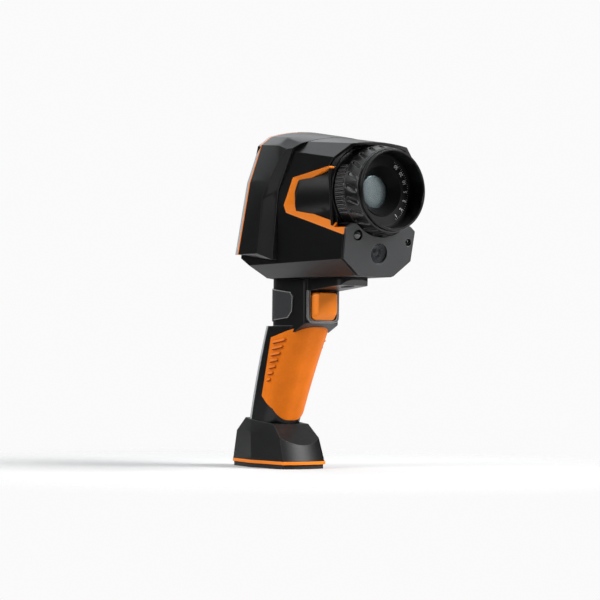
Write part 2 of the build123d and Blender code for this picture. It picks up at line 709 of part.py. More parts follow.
def accent_bevel(side):
    """What lies outside the accent's faces, which slope in from the notch's edge."""
    with BuildPart() as bevel:
        with Locations((side * FAR / 4, FAIRING_REAR - FAR / 4, LENS_Z)):
            Box(FAR / 2, FAR / 2 + 40.0, FAR / 2)
        for (start, end), inner in zip(zip(NOTCH[:4], NOTCH[1:5]), CHEEK[1:5]):
            a, b = [Vector(side * head_side(y, z), y, z) for y, z in (start, end)]
            c = Vector(side * (head_side(*inner) - ACCENT_DEPTH), *inner)
            normal = (b - a).cross(c - a) * side
            split(bisect_by=Plane(origin=a, z_dir=normal), keep=Keep.BOTTOM)
    return bevel.part


with BuildPart() as accents:
    add(head)
    add(head_solid(ACCENT_DEPTH, NOTCH_REAR), mode=Mode.SUBTRACT)
    add(notch_space, mode=Mode.INTERSECT)
    add(cheek_space, mode=Mode.SUBTRACT)
    add(side_cutter(FRONT_SPACE), mode=Mode.SUBTRACT)
    add(accent_bevel(1), mode=Mode.SUBTRACT)
    add(accent_bevel(-1), mode=Mode.SUBTRACT)
with BuildPart() as lens_fairing:
    add(lens_ring([
        (FAIRING_REAR, FAIRING_REAR_RADIUS),
        (FAIRING_FRONT, FAIRING_FRONT_RADIUS),
        (FAIRING_FRONT, FAIRING_FRONT_RADIUS - WALL),
        (FAIRING_REAR, FAIRING_REAR_RADIUS - WALL),
    ]))
    add(fairing_limit.part, mode=Mode.INTERSECT)
    add(cheeks.part)
    add(accents.part, mode=Mode.SUBTRACT)
lens_fairing.part.label = "lens_fairing"

accent_right, accent_left = accents.part.solids().sort_by(Axis.X)
accent_right.label = "accent_right"
accent_left.label = "accent_left"

# Wall behind the lens, with a trough under the bayonet ring.
with BuildPart() as front_bulkhead:
    add(lens_ring([
        (MOUNT_REAR, MOUNT_RADIUS + SEAM),
        (MOUNT_REAR, FAR / 4),
        (MOUNT_FRONT + 1.2, FAR / 4),
        (MOUNT_FRONT + 1.2, MOUNT_RADIUS + 2.3),
        (FOCUS_REAR + 1.4, MOUNT_RADIUS + 2.3),
        (FOCUS_REAR + 1.4, MOUNT_RADIUS + 0.5),
        (MOUNT_FRONT + 1.2, MOUNT_RADIUS + SEAM),
    ]))
    add(head_lining, mode=Mode.INTERSECT)
    add(side_cutter([
        (MOUNT_REAR + 1.0, LENS_Z - 34.5),
        (HEAD_FRONT, LENS_Z - 34.5),
        (HEAD_FRONT, LENS_Z - 22.5),
        (MOUNT_FRONT + 1.2, LENS_Z - 22.5),
        (MOUNT_FRONT + 1.2, FRAME_TOP),
        (MOUNT_REAR + 1.0, FRAME_TOP),
    ]), mode=Mode.INTERSECT)
    add(accents.part, mode=Mode.SUBTRACT)
    add(cheeks.part, mode=Mode.SUBTRACT)
    for x, rise, radius in (RELEASE_HOLE, LAMP_HOLE):
        with BuildSketch(PLATE_FACE):
            with Locations((x, rise)):
                Circle(radius + LOOSE_FIT + SLEEVE_WALL + SEAM)
        extrude(amount=-11.0, mode=Mode.SUBTRACT)
front_bulkhead.part.label = "front_bulkhead"

# ---------------------------------------------------------------- lens
lens_mount = lens_ring([
    (MOUNT_FRONT, MOUNT_RADIUS),
    (MOUNT_FRONT, 25.2),
    (MOUNT_FRONT + 1.4, 25.2),
    (MOUNT_FRONT + 1.4, 23.8),
    (MOUNT_FRONT, 23.8),
    (MOUNT_FRONT, 15.0),
    (MOUNT_REAR, 15.0),
    (MOUNT_REAR, MOUNT_HUB_RADIUS - 2.0),
    (MOUNT_REAR + MOUNT_HUB_LENGTH, MOUNT_HUB_RADIUS - 2.0),
    (MOUNT_REAR + MOUNT_HUB_LENGTH, MOUNT_HUB_RADIUS),
    (MOUNT_REAR, MOUNT_HUB_RADIUS),
    (MOUNT_REAR, MOUNT_RADIUS),
])
lens_mount.label = "lens_mount"

lens_seal = lens_ring([
    (MOUNT_FRONT, 25.15),
    (MOUNT_FRONT, 23.85),
    (MOUNT_FRONT + 1.35, 23.85),
    (MOUNT_FRONT + 1.35, 25.15),
])
lens_seal.label = "lens_seal"

BARREL_BASE = MOUNT_FRONT - SEAM
BARREL_INNER = BARREL_RADIUS - BARREL_WALL
FOCUS_FRONT = FOCUS_REAR - FOCUS_LENGTH
LENS_FRONT = FOCUS_FRONT - LOOSE_FIT - RIM_LENGTH
lens_barrel = lens_ring([
    (BARREL_BASE, BARREL_RADIUS),
    (BARREL_BASE, CELL_TUBE_RADIUS + LOOSE_FIT),
    (BARREL_BASE - 1.4, CELL_TUBE_RADIUS + LOOSE_FIT),
    (BARREL_BASE - 1.4, BARREL_INNER),
    (LENS_FRONT + 0.8, BARREL_INNER),
    (LENS_FRONT, BARREL_INNER + 0.4),
    (LENS_FRONT, RIM_RADIUS - 0.5),
    (LENS_FRONT + 0.5, RIM_RADIUS),
    (LENS_FRONT + RIM_LENGTH, RIM_RADIUS),
    (LENS_FRONT + RIM_LENGTH, BARREL_RADIUS),
])
lens_barrel.label = "lens_barrel"

BAYONET_REAR = MOUNT_FRONT - LOOSE_FIT
BAYONET_FRONT = BAYONET_REAR - BAYONET_LENGTH
with BuildPart() as bayonet_ring:
    add(lens_ring([
        (BAYONET_REAR, BAYONET_RADIUS),
        (BAYONET_REAR, BARREL_RADIUS + RUNNING_FIT),
        (BAYONET_FRONT, BARREL_RADIUS + RUNNING_FIT),
        (BAYONET_FRONT, BAYONET_RADIUS - 0.6),
        (BAYONET_FRONT + 0.6, BAYONET_RADIUS),
    ]))
    spread = BAYONET_RIB_PITCH * (BAYONET_RIBS - 1)
    for patch in (0, 180):
        with BuildSketch(Plane.XZ.offset(-BAYONET_REAR + 1.2)):
            with Locations((0, LENS_Z)):
                with PolarLocations(
                    BAYONET_RADIUS, BAYONET_RIBS, patch - spread / 2, spread, endpoint=True
                ):
                    Rectangle(2 * BAYONET_RIB_HEIGHT, BAYONET_RIB_WIDTH)
        extrude(amount=BAYONET_LENGTH - 2.4)
bayonet_ring.part.label = "bayonet_ring"

FOCUS_SLOT_LENGTH = 11.0
FOCUS_SLOPE = atan2(FOCUS_REAR_RADIUS - FOCUS_FRONT_RADIUS, FOCUS_LENGTH)
with BuildPart() as focus_ring:
    add(lens_ring([
        (FOCUS_REAR, BARREL_RADIUS + RUNNING_FIT),
        (FOCUS_REAR, FOCUS_REAR_RADIUS - 0.4),
        (FOCUS_REAR - 0.4, FOCUS_REAR_RADIUS),
        (FOCUS_FRONT + 0.5, FOCUS_FRONT_RADIUS),
        (FOCUS_FRONT, FOCUS_FRONT_RADIUS - 0.6),
        (FOCUS_FRONT, BARREL_RADIUS + RUNNING_FIT),
    ]))
    floor_radius = (FOCUS_REAR_RADIUS + FOCUS_FRONT_RADIUS) / 2 - FOCUS_SLOT_DEPTH
    for slot in range(FOCUS_SLOTS):
        outward = Vector(1, 0, 0).rotate(Axis.Y, 360.0 * slot / FOCUS_SLOTS)
        normal = outward * cos(FOCUS_SLOPE) + Vector(0, -1, 0) * sin(FOCUS_SLOPE)
        forward = Vector(0, -1, 0) * cos(FOCUS_SLOPE) - outward * sin(FOCUS_SLOPE)
        floor = Plane(
            origin=Vector(0, FOCUS_REAR - FOCUS_LENGTH / 2, LENS_Z) + outward * floor_radius,
            x_dir=forward.rotate(Axis((0, 0, 0), normal), FOCUS_SLOT_SKEW),
            z_dir=normal,
        )
        with BuildSketch(floor):
            SlotOverall(FOCUS_SLOT_LENGTH, FOCUS_SLOT_WIDTH)
        extrude(amount=3 * FOCUS_SLOT_DEPTH, mode=Mode.SUBTRACT)
focus_ring.part.label = "focus_ring"

CELL_REAR = CELL_FRONT + CELL_LENGTH
TUBE_REAR = CELL_REAR + CELL_TUBE_LENGTH
GLASS_REAR = TUBE_REAR - 3.45
REAR_GLASS_RADIUS = 9.2
lens_cell = lens_ring([
    (CELL_FRONT, BARREL_INNER - RUNNING_FIT),
    (CELL_REAR, BARREL_INNER - RUNNING_FIT),
    (CELL_REAR, CELL_TUBE_RADIUS),
    (TUBE_REAR, CELL_TUBE_RADIUS),
    (TUBE_REAR, REAR_GLASS_RADIUS - 0.6),
    (TUBE_REAR - 0.8, REAR_GLASS_RADIUS - 0.6),
    (TUBE_REAR - 0.8, REAR_GLASS_RADIUS + SEAM),
    (GLASS_REAR + SEAM, REAR_GLASS_RADIUS + SEAM),
    (GLASS_REAR + SEAM, GLASS_RADIUS + SEAM),
    (GLASS_REAR - 4.2, GLASS_RADIUS + SEAM),
    (CELL_FRONT + 0.4, 17.0),
    (CELL_FRONT + 0.9, 17.4),
    (CELL_FRONT + 0.3, 23.8),
    (CELL_FRONT, 24.2),
])
lens_cell.label = "lens_cell"

GLASS_EDGE = GLASS_REAR - 2.6
GLASS_DOME = 0.9
with BuildPart() as objective_glass:
    with BuildSketch(Plane.YZ):
        with BuildLine():
            dome(GLASS_EDGE, GLASS_RADIUS, GLASS_DOME)
            Polyline(
                (GLASS_EDGE - GLASS_DOME, LENS_Z),
                (GLASS_REAR, LENS_Z),
                (GLASS_REAR, LENS_Z + GLASS_RADIUS),
                (GLASS_EDGE, LENS_Z + GLASS_RADIUS),
            )
        make_face()
    revolve(axis=LENS_AXIS)
objective_glass.part.label = "objective_glass"

retaining_ring = lens_ring([
    (GLASS_EDGE - 0.2, GLASS_RADIUS),
    (GLASS_EDGE - 0.2, GLASS_RADIUS - 0.6),
    (GLASS_EDGE - 1.5, GLASS_RADIUS - 0.2),
    (GLASS_EDGE - 1.5, GLASS_RADIUS),
])
retaining_ring.label = "retaining_ring"

REAR_GLASS_BACK = TUBE_REAR - 0.9
with BuildPart() as rear_element:
    with BuildSketch(Plane.YZ):
        with BuildLine():
            dome(REAR_GLASS_BACK, REAR_GLASS_RADIUS, -0.8)
            Polyline(
                (REAR_GLASS_BACK + 0.8, LENS_Z),
                (REAR_GLASS_BACK - 2.4, LENS_Z),
                (REAR_GLASS_BACK - 2.4, LENS_Z + REAR_GLASS_RADIUS),
                (REAR_GLASS_BACK, LENS_Z + REAR_GLASS_RADIUS),
            )
        make_face()
    revolve(axis=LENS_AXIS)
rear_element.part.label = "rear_element"

# ---------------------------------------------------------------- detector and shutter
DETECTOR_FRONT = MOUNT_REAR + MOUNT_HUB_LENGTH + SEAM
SHUTTER_PIVOT = (0.0, LENS_Z - 12.6)
SHUTTER_DEPTH = DETECTOR_FRONT - 2.6
with BuildPart() as detector_module:
    with BuildSketch(Plane.XZ.offset(-DETECTOR_FRONT)):
        with Locations((0, LENS_Z)):
            Circle(MOUNT_HUB_RADIUS)
    extrude(amount=-2.0)
    with BuildSketch(Plane.XZ.offset(-DETECTOR_FRONT - 2.0)):
        with Locations((0, LENS_Z)):
            Rectangle(26.0, 26.0)
    extrude(amount=-10.0)
    with BuildSketch(Plane.XZ.offset(-DETECTOR_FRONT)):
        with Locations((0, LENS_Z)):
            Circle(4.2)
    extrude(amount=-5.0, mode=Mode.SUBTRACT)
detector_module.part.label = "detector_module"

with BuildPart() as shutter_motor:
    with BuildSketch(Plane.XZ.offset(-DETECTOR_FRONT + SEAM)):
        with Locations(SHUTTER_PIVOT):
            Circle(3.0)
            Circle(0.8 + RUNNING_FIT, mode=Mode.SUBTRACT)
    extrude(amount=1.8)
shutter_motor.part.label = "shutter_motor"

with BuildPart() as shutter_blade:
    with BuildSketch(Plane.XZ.offset(-SHUTTER_DEPTH)):
        with Locations(SHUTTER_PIVOT):
            Circle(2.0)
        with Locations((0, LENS_Z - 6.3)):
            Rectangle(3.0, 12.6)
        with Locations((0, LENS_Z)):
            Circle(4.8)
    extrude(amount=0.5)
    with BuildSketch(Plane.XZ.offset(-SHUTTER_DEPTH)):
        with Locations(SHUTTER_PIVOT):
            Circle(0.8)
    extrude(amount=-2.2)
shutter_blade.part.label = "shutter_blade"

# ---------------------------------------------------------------- front plate
keel, chine = inset(head_section(PLATE_Y), 0.4)[:2]
PLATE_SIDE_TOP = (29.8, 17.4)
PLATE_SHOULDER = (24.8, 20.8)
PLATE_AXIS = Axis(PLATE_FACE.origin, PLATE_FACE.z_dir)


def plate_rise(corner):
    """Height of a head corner up the tilted plate."""
    return (corner[1] - PLATE_Z) / cos(PLATE_ANGLE)


with BuildPart() as front_plate:
    with BuildSketch(PLATE_FACE.offset(-PLATE_THICKNESS)):
        with BuildLine():
            right = [
                (keel[0], plate_rise(keel)), (chine[0], plate_rise(chine)),
                PLATE_SIDE_TOP, PLATE_SHOULDER,
            ]
            left = [(-x, rise) for x, rise in reversed(right)]
            Polyline(*right, *left, close=True)
        make_face()
        fillet(vertices(), 1.6)
    extrude(amount=PLATE_THICKNESS + PLATE_BOW)
    bow_radius = PLATE_SIDE_TOP[0] ** 2 / (2 * PLATE_BOW)
    below = PLATE_FACE.from_local_coords((0, -FAR / 2, 0))
    with BuildSketch(Plane(origin=below, x_dir=(1, 0, 0), z_dir=PLATE_FACE.y_dir)):
        with Locations((0, bow_radius - PLATE_BOW)):
            Circle(bow_radius)
    extrude(amount=FAR, mode=Mode.INTERSECT)
    for x, rise, radius in (CAMERA_HOLE, LAMP_HOLE, RELEASE_HOLE):
        with BuildSketch(PLATE_FACE.offset(-PLATE_THICKNESS)):
            with Locations((x, rise)):
                Circle(radius + LOOSE_FIT + SLEEVE_WALL)
        extrude(amount=-5.0)
        with BuildSketch(PLATE_FACE.offset(PLATE_BOW)):
            with Locations((x, rise)):
                Circle(radius + (LOOSE_FIT if radius == RELEASE_RADIUS else SEAM))
        extrude(amount=-FAR / 8, mode=Mode.SUBTRACT)
    add(lens_ring([
        (HEAD_FRONT - 10.0, 0.0),
        (HEAD_FRONT - 10.0, MOUNT_RADIUS - 0.3),
        (FOCUS_REAR + 1.2, MOUNT_RADIUS - 0.3),
        (FOCUS_REAR + 1.2, MOUNT_RADIUS + 2.4),
        (MOUNT_REAR, MOUNT_RADIUS + 2.4),
        (MOUNT_REAR, 0.0),
    ]), mode=Mode.SUBTRACT)
    for neighbour in (housing, lens_fairing, accents):
        add(neighbour.part, mode=Mode.SUBTRACT)
front_plate.part.label = "front_plate"

# ---------------------------------------------------------------- front plate's fittings
with BuildPart() as camera_window:
    with BuildSketch(PLATE_FACE.offset(-0.4)):
        with Locations((0, CAMERA_RISE)):
            Circle(CAMERA_RADIUS)
    extrude(amount=-1.0)
camera_window.part.label = "camera_window"

with BuildPart() as camera_module:
    for depth, radius, length in ((1.5, CAMERA_RADIUS, 1.2), (2.7, 5.0, 6.0)):
        with BuildSketch(PLATE_FACE.offset(-depth)):
            with Locations((0, CAMERA_RISE)):
                Circle(radius)
        extrude(amount=-length)
    with BuildSketch(PLATE_FACE.offset(-8.7)):
        with Locations((0, CAMERA_RISE - 2.0)):
            Rectangle(16.0, 12.0)
    extrude(amount=-3.0)
    with BuildSketch(PLATE_FACE.offset(-1.5)):
        with Locations((0, CAMERA_RISE)):
            Circle(3.4)
    extrude(amount=-3.0, taper=20, mode=Mode.SUBTRACT)
camera_module.part.label = "camera_module"

with BuildPart() as lamp_module:
    for depth, radius, length in ((0.5, LAMP_RADIUS, 1.0), (1.5, LAMP_RADIUS - 0.3, 8.0)):
        with BuildSketch(PLATE_FACE.offset(-depth)):
            with Locations((LAMP_X, LAMP_RISE)):
                Circle(radius)
        extrude(amount=-length)
lamp_module.part.label = "lamp_module"

with BuildPart() as release_button:
    with BuildSketch(PLATE_FACE.offset(-PLATE_THICKNESS + RELEASE_CAP + 0.2)):
        with Locations((RELEASE_X, RELEASE_RISE)):
            Circle(RELEASE_RADIUS)
    extrude(amount=-RELEASE_LENGTH)
    with BuildSketch(PLATE_FACE.offset(-PLATE_THICKNESS + 0.2)):
        with Locations((RELEASE_X, RELEASE_RISE)):
            Circle(RELEASE_STEM_BORE)
    extrude(amount=-RELEASE_LENGTH, mode=Mode.SUBTRACT)
    chamfer(release_button.edges().group_by(PLATE_AXIS)[-1], 0.4)
release_button.part.label = "release_button"

# ---------------------------------------------------------------- side port
with BuildPart() as port_bay:
    with BuildSketch(PORT_FACE.offset(-SEAM)):
        RectangleRounded(2 * PORT_HALF_LENGTH - 2 * SEAM, 2 * PORT_HALF_HEIGHT - 2 * SEAM, 2.0)
    extrude(amount=-9.0)
    with BuildSketch(PORT_FACE.offset(1.0)):
        RectangleRounded(2 * PORT_HALF_LENGTH - 2.4, 2 * PORT_HALF_HEIGHT - 2.4, 1.6)
    extrude(amount=-1.0 - PORT_POCKET, mode=Mode.SUBTRACT)
    with BuildSketch(PORT_FACE):
        with Locations((-6.5, 0.0)):
            Rectangle(8.6, 3.4)
        with Locations((5.5, 0.0)):
            RectangleRounded(8.8, 3.2, 1.5)
    extrude(amount=-7.5, mode=Mode.SUBTRACT)
port_bay.part.label = "port_bay"

HINGE_X = -PORT_HALF_LENGTH + PORT_FLAP_GAP + 1.3
HINGE_DEPTH = PORT_FLAP_THICKNESS / 2
KNUCKLE_HALF_LENGTH = PORT_HALF_HEIGHT - PORT_FLAP_GAP
HINGE = Plane(
    origin=PORT_FACE.from_local_coords((HINGE_X, 0, -HINGE_DEPTH)), z_dir=PORT_FACE.y_dir)
with BuildPart() as port_flap:
    flap_end = PORT_HALF_LENGTH - PORT_FLAP_GAP
    with BuildSketch(PORT_FACE):
        with Locations(((HINGE_X + flap_end) / 2, 0)):
            RectangleRounded(flap_end - HINGE_X, 2 * KNUCKLE_HALF_LENGTH, 0.8)
    extrude(amount=-PORT_FLAP_THICKNESS)
    with BuildSketch(HINGE.offset(-KNUCKLE_HALF_LENGTH)):
        Circle(HINGE_DEPTH)
    extrude(amount=2 * KNUCKLE_HALF_LENGTH)
    with BuildSketch(HINGE.offset(-PORT_HALF_HEIGHT)):
        Circle(PORT_PIN_RADIUS + RUNNING_FIT)
    extrude(amount=2 * PORT_HALF_HEIGHT, mode=Mode.SUBTRACT)
port_flap.part.label = "port_flap"

with BuildPart() as port_pin:
    with BuildSketch(HINGE.offset(-KNUCKLE_HALF_LENGTH - LOOSE_FIT)):
        Circle(PORT_PIN_RADIUS)
    extrude(amount=2 * (KNUCKLE_HALF_LENGTH + LOOSE_FIT))
port_pin.part.label = "port_pin"

# ---------------------------------------------------------------- grip, neck and foot
FOOT_TOP_ANGLE = radians(FOOT_TOP_TILT)
FOOT_TOP_PLANE = Plane(
    origin=(0, 0, FOOT_TOP),
    x_dir=(1, 0, 0),
    z_dir=(0, -sin(FOOT_TOP_ANGLE), cos(FOOT_TOP_ANGLE)),
)


def grip_solid(grow):
    """The leaning grip, with its surface moved out by grow."""
    with BuildPart() as grip:
        for z in (GRIP_FOOT, GRIP_WAIST_HEIGHT, GRIP_TOP):
            share = (z - FOOT_TOP) / (GRIP_TOP - FOOT_TOP)
            centre = lerp(GRIP_LOW_CENTRE, GRIP_HIGH_CENTRE, share)
            if z == GRIP_WAIST_HEIGHT:
                centre += GRIP_WAIST_BOW
            with BuildSketch(Plane.XY.offset(z)):
                with Locations((0, centre)):
                    RectangleRounded(
                        2 * (lerp(GRIP_LOW_HALF_WIDTH, GRIP_HIGH_HALF_WIDTH, share) + grow),
                        2 * (lerp(GRIP_LOW_HALF_DEPTH, GRIP_HIGH_HALF_DEPTH, share) + grow),
                        GRIP_CORNER + grow,
                    )
        loft()
        split(bisect_by=FOOT_TOP_PLANE, keep=Keep.TOP)
    return grip.part


def neck_solid(grow, bottom=GRIP_TOP, top=HEAD_BOTTOM):
    """The upright neck behind the trigger: round at the back, squarer in front."""
    with BuildPart() as neck:
        with BuildSketch(Plane.XY.offset(bottom)):
            with Locations((0, (NECK_BACK + NECK_FRONT) / 2)):
                Rectangle(2 * (NECK_HALF_WIDTH + grow), NECK_BACK - NECK_FRONT + 2 * grow)
            fillet(vertices().group_by(Axis.Y)[0], NECK_FRONT_CORNER + grow)
            fillet(vertices().group_by(Axis.Y)[-1], NECK_BACK_CORNER + grow)
        extrude(amount=top - bottom)
    return neck.part


def above_slope(lift):
    """All that lies above the slope under the trigger, with the slope raised by lift."""
    drop = NECK_SLOPE + RIM_LOW - GRIP_TOP
    return side_cutter([
        (NECK_FRONT - FAR, RIM_LOW + lift + FAR * drop / NECK_SLOPE_RUN),
        (NECK_FRONT + NECK_SLOPE_RUN, RIM_LOW + lift - drop),
        (NECK_BACK - NECK_BACK_CORNER, RIM_LOW + lift - drop),
        (NECK_BACK - NECK_BACK_CORNER, GRIP_TOP),
        (FAR, GRIP_TOP),
        (FAR, FAR * 2),
        (NECK_FRONT - FAR, FAR * 2),
    ])


def saddle_solid():
    """Wedge under the head that carries the neck's load forward."""
    with BuildPart() as saddle:
        with BuildSketch(Plane.XY.offset(HEAD_BOTTOM - SADDLE_ROOT_DEPTH)):
            with Locations((0, (NECK_BACK - 1.5 + SADDLE_TIP) / 2)):
                RectangleRounded(2 * SADDLE_HALF_WIDTH, NECK_BACK - 1.5 - SADDLE_TIP, 9.0)
        extrude(amount=SADDLE_ROOT_DEPTH)
        add(side_cutter([
            (NECK_BACK, HEAD_BOTTOM),
            (NECK_BACK, HEAD_BOTTOM - 3.0),
            (NECK_BACK - 10.0, HEAD_BOTTOM - SADDLE_ROOT_DEPTH),
            (NECK_FRONT - 1.5, HEAD_BOTTOM - SADDLE_ROOT_DEPTH),
            (SADDLE_TIP + 4.5, HEAD_BOTTOM - SADDLE_DEPTH),
            (SADDLE_TIP, HEAD_BOTTOM - 1.8),
            (SADDLE_TIP, HEAD_BOTTOM),
        ]), mode=Mode.INTERSECT)
    return saddle.part


TRIGGER_FRONT = NECK_FRONT - TRIGGER_PROUD
TRIGGER_BACK = TRIGGER_FRONT + TRIGGER_LENGTH
POCKET_HALF_WIDTH = TRIGGER_HALF_WIDTH + TRIGGER_GAP
RIM_LOW = TRIGGER_BOTTOM - LOOSE_FIT - TRIGGER_RIM_WIDTH
SADDLE_LOW = HEAD_BOTTOM - SADDLE_ROOT_DEPTH

grip = grip_solid(0)
with BuildPart() as neck:             # its foot runs down over the grip
    add(neck_solid(0, GRIP_TOP - NECK_SLOPE))
    add(above_slope(0), mode=Mode.INTERSECT)
with BuildPart() as neck_hollow:
    add(neck_solid(-WALL, GRIP_TOP, HEAD_BOTTOM - WALL))
    add(above_slope(1.2 * WALL), mode=Mode.INTERSECT)

with BuildPart() as grip_hollow:      # closed at the top behind the neck
    add(neck_solid(-WALL, FOOT_TOP, GRIP_TOP))
    with Locations((0, 0, GRIP_TOP - WALL)):
        Box(FAR, FAR, FAR, align=(Align.CENTER, Align.CENTER, Align.MAX))
    add(grip_solid(-WALL), mode=Mode.INTERSECT)

# depth and height of the bosses for the screws that clamp the two halves
BOSSES = ((NECK_BACK - 14.0, SADDLE_LOW + 5.0), (NECK_BACK - 22.0, GRIP_TOP - 0.7))
with BuildPart() as handle:
    add(grip)
    add(neck.part)
    add(saddle_solid())
    add(grip_hollow.part, mode=Mode.SUBTRACT)
    add(neck_hollow.part, mode=Mode.SUBTRACT)
    with Locations((0, NECK_FRONT, (TRIGGER_BOTTOM + TRIGGER_TOP) / 2)):
        Box(
            2 * POCKET_HALF_WIDTH, 6 * WALL, TRIGGER_TOP - TRIGGER_BOTTOM + 2 * LOOSE_FIT,
            mode=Mode.SUBTRACT,
        )
    with Locations((0, TRIPOD_Y, HEAD_BOTTOM)):
        Cylinder(TRIPOD_INSERT_RADIUS + SEAM, 4 * SADDLE_ROOT_DEPTH, mode=Mode.SUBTRACT)
    for y, z in BOSSES:
        with BuildSketch(Plane.YZ):
            with Locations((y, z)):
                Circle(BOSS_RADIUS)
        extrude(amount=NECK_HALF_WIDTH - 1.0, both=True)


def half(whole, side):
    """One clamshell half: side is 1 for the user's left, -1 for the right."""
    with BuildPart() as shell:
        add(whole)
        split(bisect_by=Plane.YZ, keep=Keep.TOP if side > 0 else Keep.BOTTOM)
        with BuildSketch(Plane.YZ.offset(side * SEAM / 2)):
            Rectangle(FAR * 2, FAR * 2)
        extrude(amount=-side * SEAM, mode=Mode.SUBTRACT)
    return shell.part


handle_left = half(handle.part, 1)
handle_right = half(handle.part, -1)
with BuildPart() as screw_wells:
    for y, z in BOSSES:
        with BuildSketch(Plane.YZ.offset(-NECK_HALF_WIDTH + 3.0)):
            with Locations((y, z)):
                Circle(SCREW_RADIUS + SEAM)
        extrude(amount=NECK_HALF_WIDTH * 2 - 6.0)
        with BuildSketch(Plane.YZ.offset(NECK_HALF_WIDTH - 4.0)):
            with Locations((y, z)):
                Circle(SCREW_HEAD_RADIUS + SEAM)
        extrude(amount=10.0)
handle_left = handle_left - screw_wells.part
handle_right = handle_right - screw_wells.part
handle_left.label = "handle_left"
handle_right.label = "handle_right"

with BuildPart() as handle_screws:
    for y, z in BOSSES:
        with BuildSketch(Plane.YZ.offset(-NECK_HALF_WIDTH + 3.5)):
            with Locations((y, z)):
                Circle(SCREW_RADIUS)
        extrude(amount=NECK_HALF_WIDTH * 2 - 7.5)
        with BuildSketch(Plane.YZ.offset(NECK_HALF_WIDTH - 4.0)):
            with Locations((y, z)):
                Circle(SCREW_HEAD_RADIUS)
                RegularPolygon(1.25, 6, mode=Mode.SUBTRACT)
        extrude(amount=2.0)
handle_screws.part.label = "handle_screws"

housing_left = half(housing.part, 1)
housing_left.label = "housing_left"
housing_right = half(housing.part, -1)
housing_right.label = "housing_right"

# Soft cover round the front and sides of the grip, from the side.
COVER_OUTLINE = [
    (-18.8, 92.3),
    (-60.0, 102.3),
    (-60.0, 25.0),
    (-24.0, 25.0),
    (-21.0, 33.5),
    (-17.9, 42.0),
    (-7.8, 50.9),
]
with BuildPart() as cover_ribs:
    for rib in range(GRIP_RIBS):
        share = rib / (GRIP_RIBS - 1)
        length = lerp(GRIP_RIB_LONGEST, GRIP_RIB_SHORTEST, share)
        middle = lerp(GRIP_RIB_HIGH_Y, GRIP_RIB_LOW_Y, share) - length / 2
        with BuildSketch(Plane.YZ):
            with Locations(Location((middle, GRIP_RIB_HIGH - GRIP_RIB_PITCH * rib), -GRIP_RIB_SLANT)):
                SlotOverall(length, GRIP_RIB_WIDTH)
        extrude(amount=FAR / 8, both=True)
    add(grip_solid(GRIP_COVER + GRIP_RIB_HEIGHT), mode=Mode.INTERSECT)

with BuildPart() as grip_cover:
    add(grip_solid(GRIP_COVER))
    add(side_cutter(COVER_OUTLINE), mode=Mode.INTERSECT)
    add(cover_ribs.part)
    add(grip, mode=Mode.SUBTRACT)
    add(neck.part, mode=Mode.SUBTRACT)
grip_cover.part.label = "grip_cover"

with BuildPart() as handle_spine:
    add(grip_solid(SPINE_THICKNESS))
    add(grip, mode=Mode.SUBTRACT)
    with Locations((0, (GRIP_LOW_CENTRE + GRIP_HIGH_CENTRE) / 2, 0)):
        Box(
            2 * SPINE_HALF_WIDTH, FAR, GRIP_TOP,
            align=(Align.CENTER, Align.MIN, Align.MIN), mode=Mode.INTERSECT)
    for z in (55.5, 40.5):
        with Locations((0, 20.0, z)):
            Box(4 * SPINE_HALF_WIDTH, 60.0, 0.5, mode=Mode.SUBTRACT)
handle_spine.part.label = "handle_spine"

with BuildPart() as neck_pad:
    add(neck_solid(PAD_THICKNESS))
    add(neck.part, mode=Mode.SUBTRACT)
    add(side_cutter([
        (0.0, GRIP_TOP + 2.0),
        (-37.0, GRIP_TOP + 5.6),
        (-41.5, GRIP_TOP + 10.0),
        (-42.2, GRIP_TOP + 20.5),
        (-39.5, GRIP_TOP + 23.6),
        (0.0, GRIP_TOP + 28.0),
    ]), mode=Mode.INTERSECT)
    add(saddle_solid(), mode=Mode.SUBTRACT)
neck_pad.part.label = "neck_pad"

# ---------------------------------------------------------------- trigger
TRIGGER_MIDDLE = (TRIGGER_BOTTOM + TRIGGER_TOP) / 2
TRIGGER_HEIGHT = TRIGGER_TOP - TRIGGER_BOTTOM
with BuildPart() as trigger:
    with BuildSketch(Plane.XZ.offset(-TRIGGER_FRONT)):
        with Locations((0, TRIGGER_MIDDLE + (TRIGGER_BEVEL_LOW - TRIGGER_BEVEL_TOP) / 2)):
            RectangleRounded(
                2 * (TRIGGER_HALF_WIDTH - TRIGGER_BEVEL_SIDE),
                TRIGGER_HEIGHT - TRIGGER_BEVEL_LOW - TRIGGER_BEVEL_TOP,
                TRIGGER_CORNER / 2,
            )
    with BuildSketch(Plane.XZ.offset(-TRIGGER_FRONT - TRIGGER_BEVEL)):
        with Locations((0, TRIGGER_MIDDLE)):
            RectangleRounded(2 * TRIGGER_HALF_WIDTH, TRIGGER_HEIGHT, TRIGGER_CORNER)
    loft(ruled=True)
    extrude(faces().sort_by(Axis.Y)[-1], amount=TRIGGER_LENGTH - TRIGGER_BEVEL)
    with BuildSketch(Plane.XZ.offset(-TRIGGER_BACK)):
        with Locations((0, TRIGGER_MIDDLE)):
            Circle(SPRING_RADIUS + 0.5)
    extrude(amount=TRIGGER_LENGTH - 3.0, mode=Mode.SUBTRACT)
trigger.part.label = "trigger"

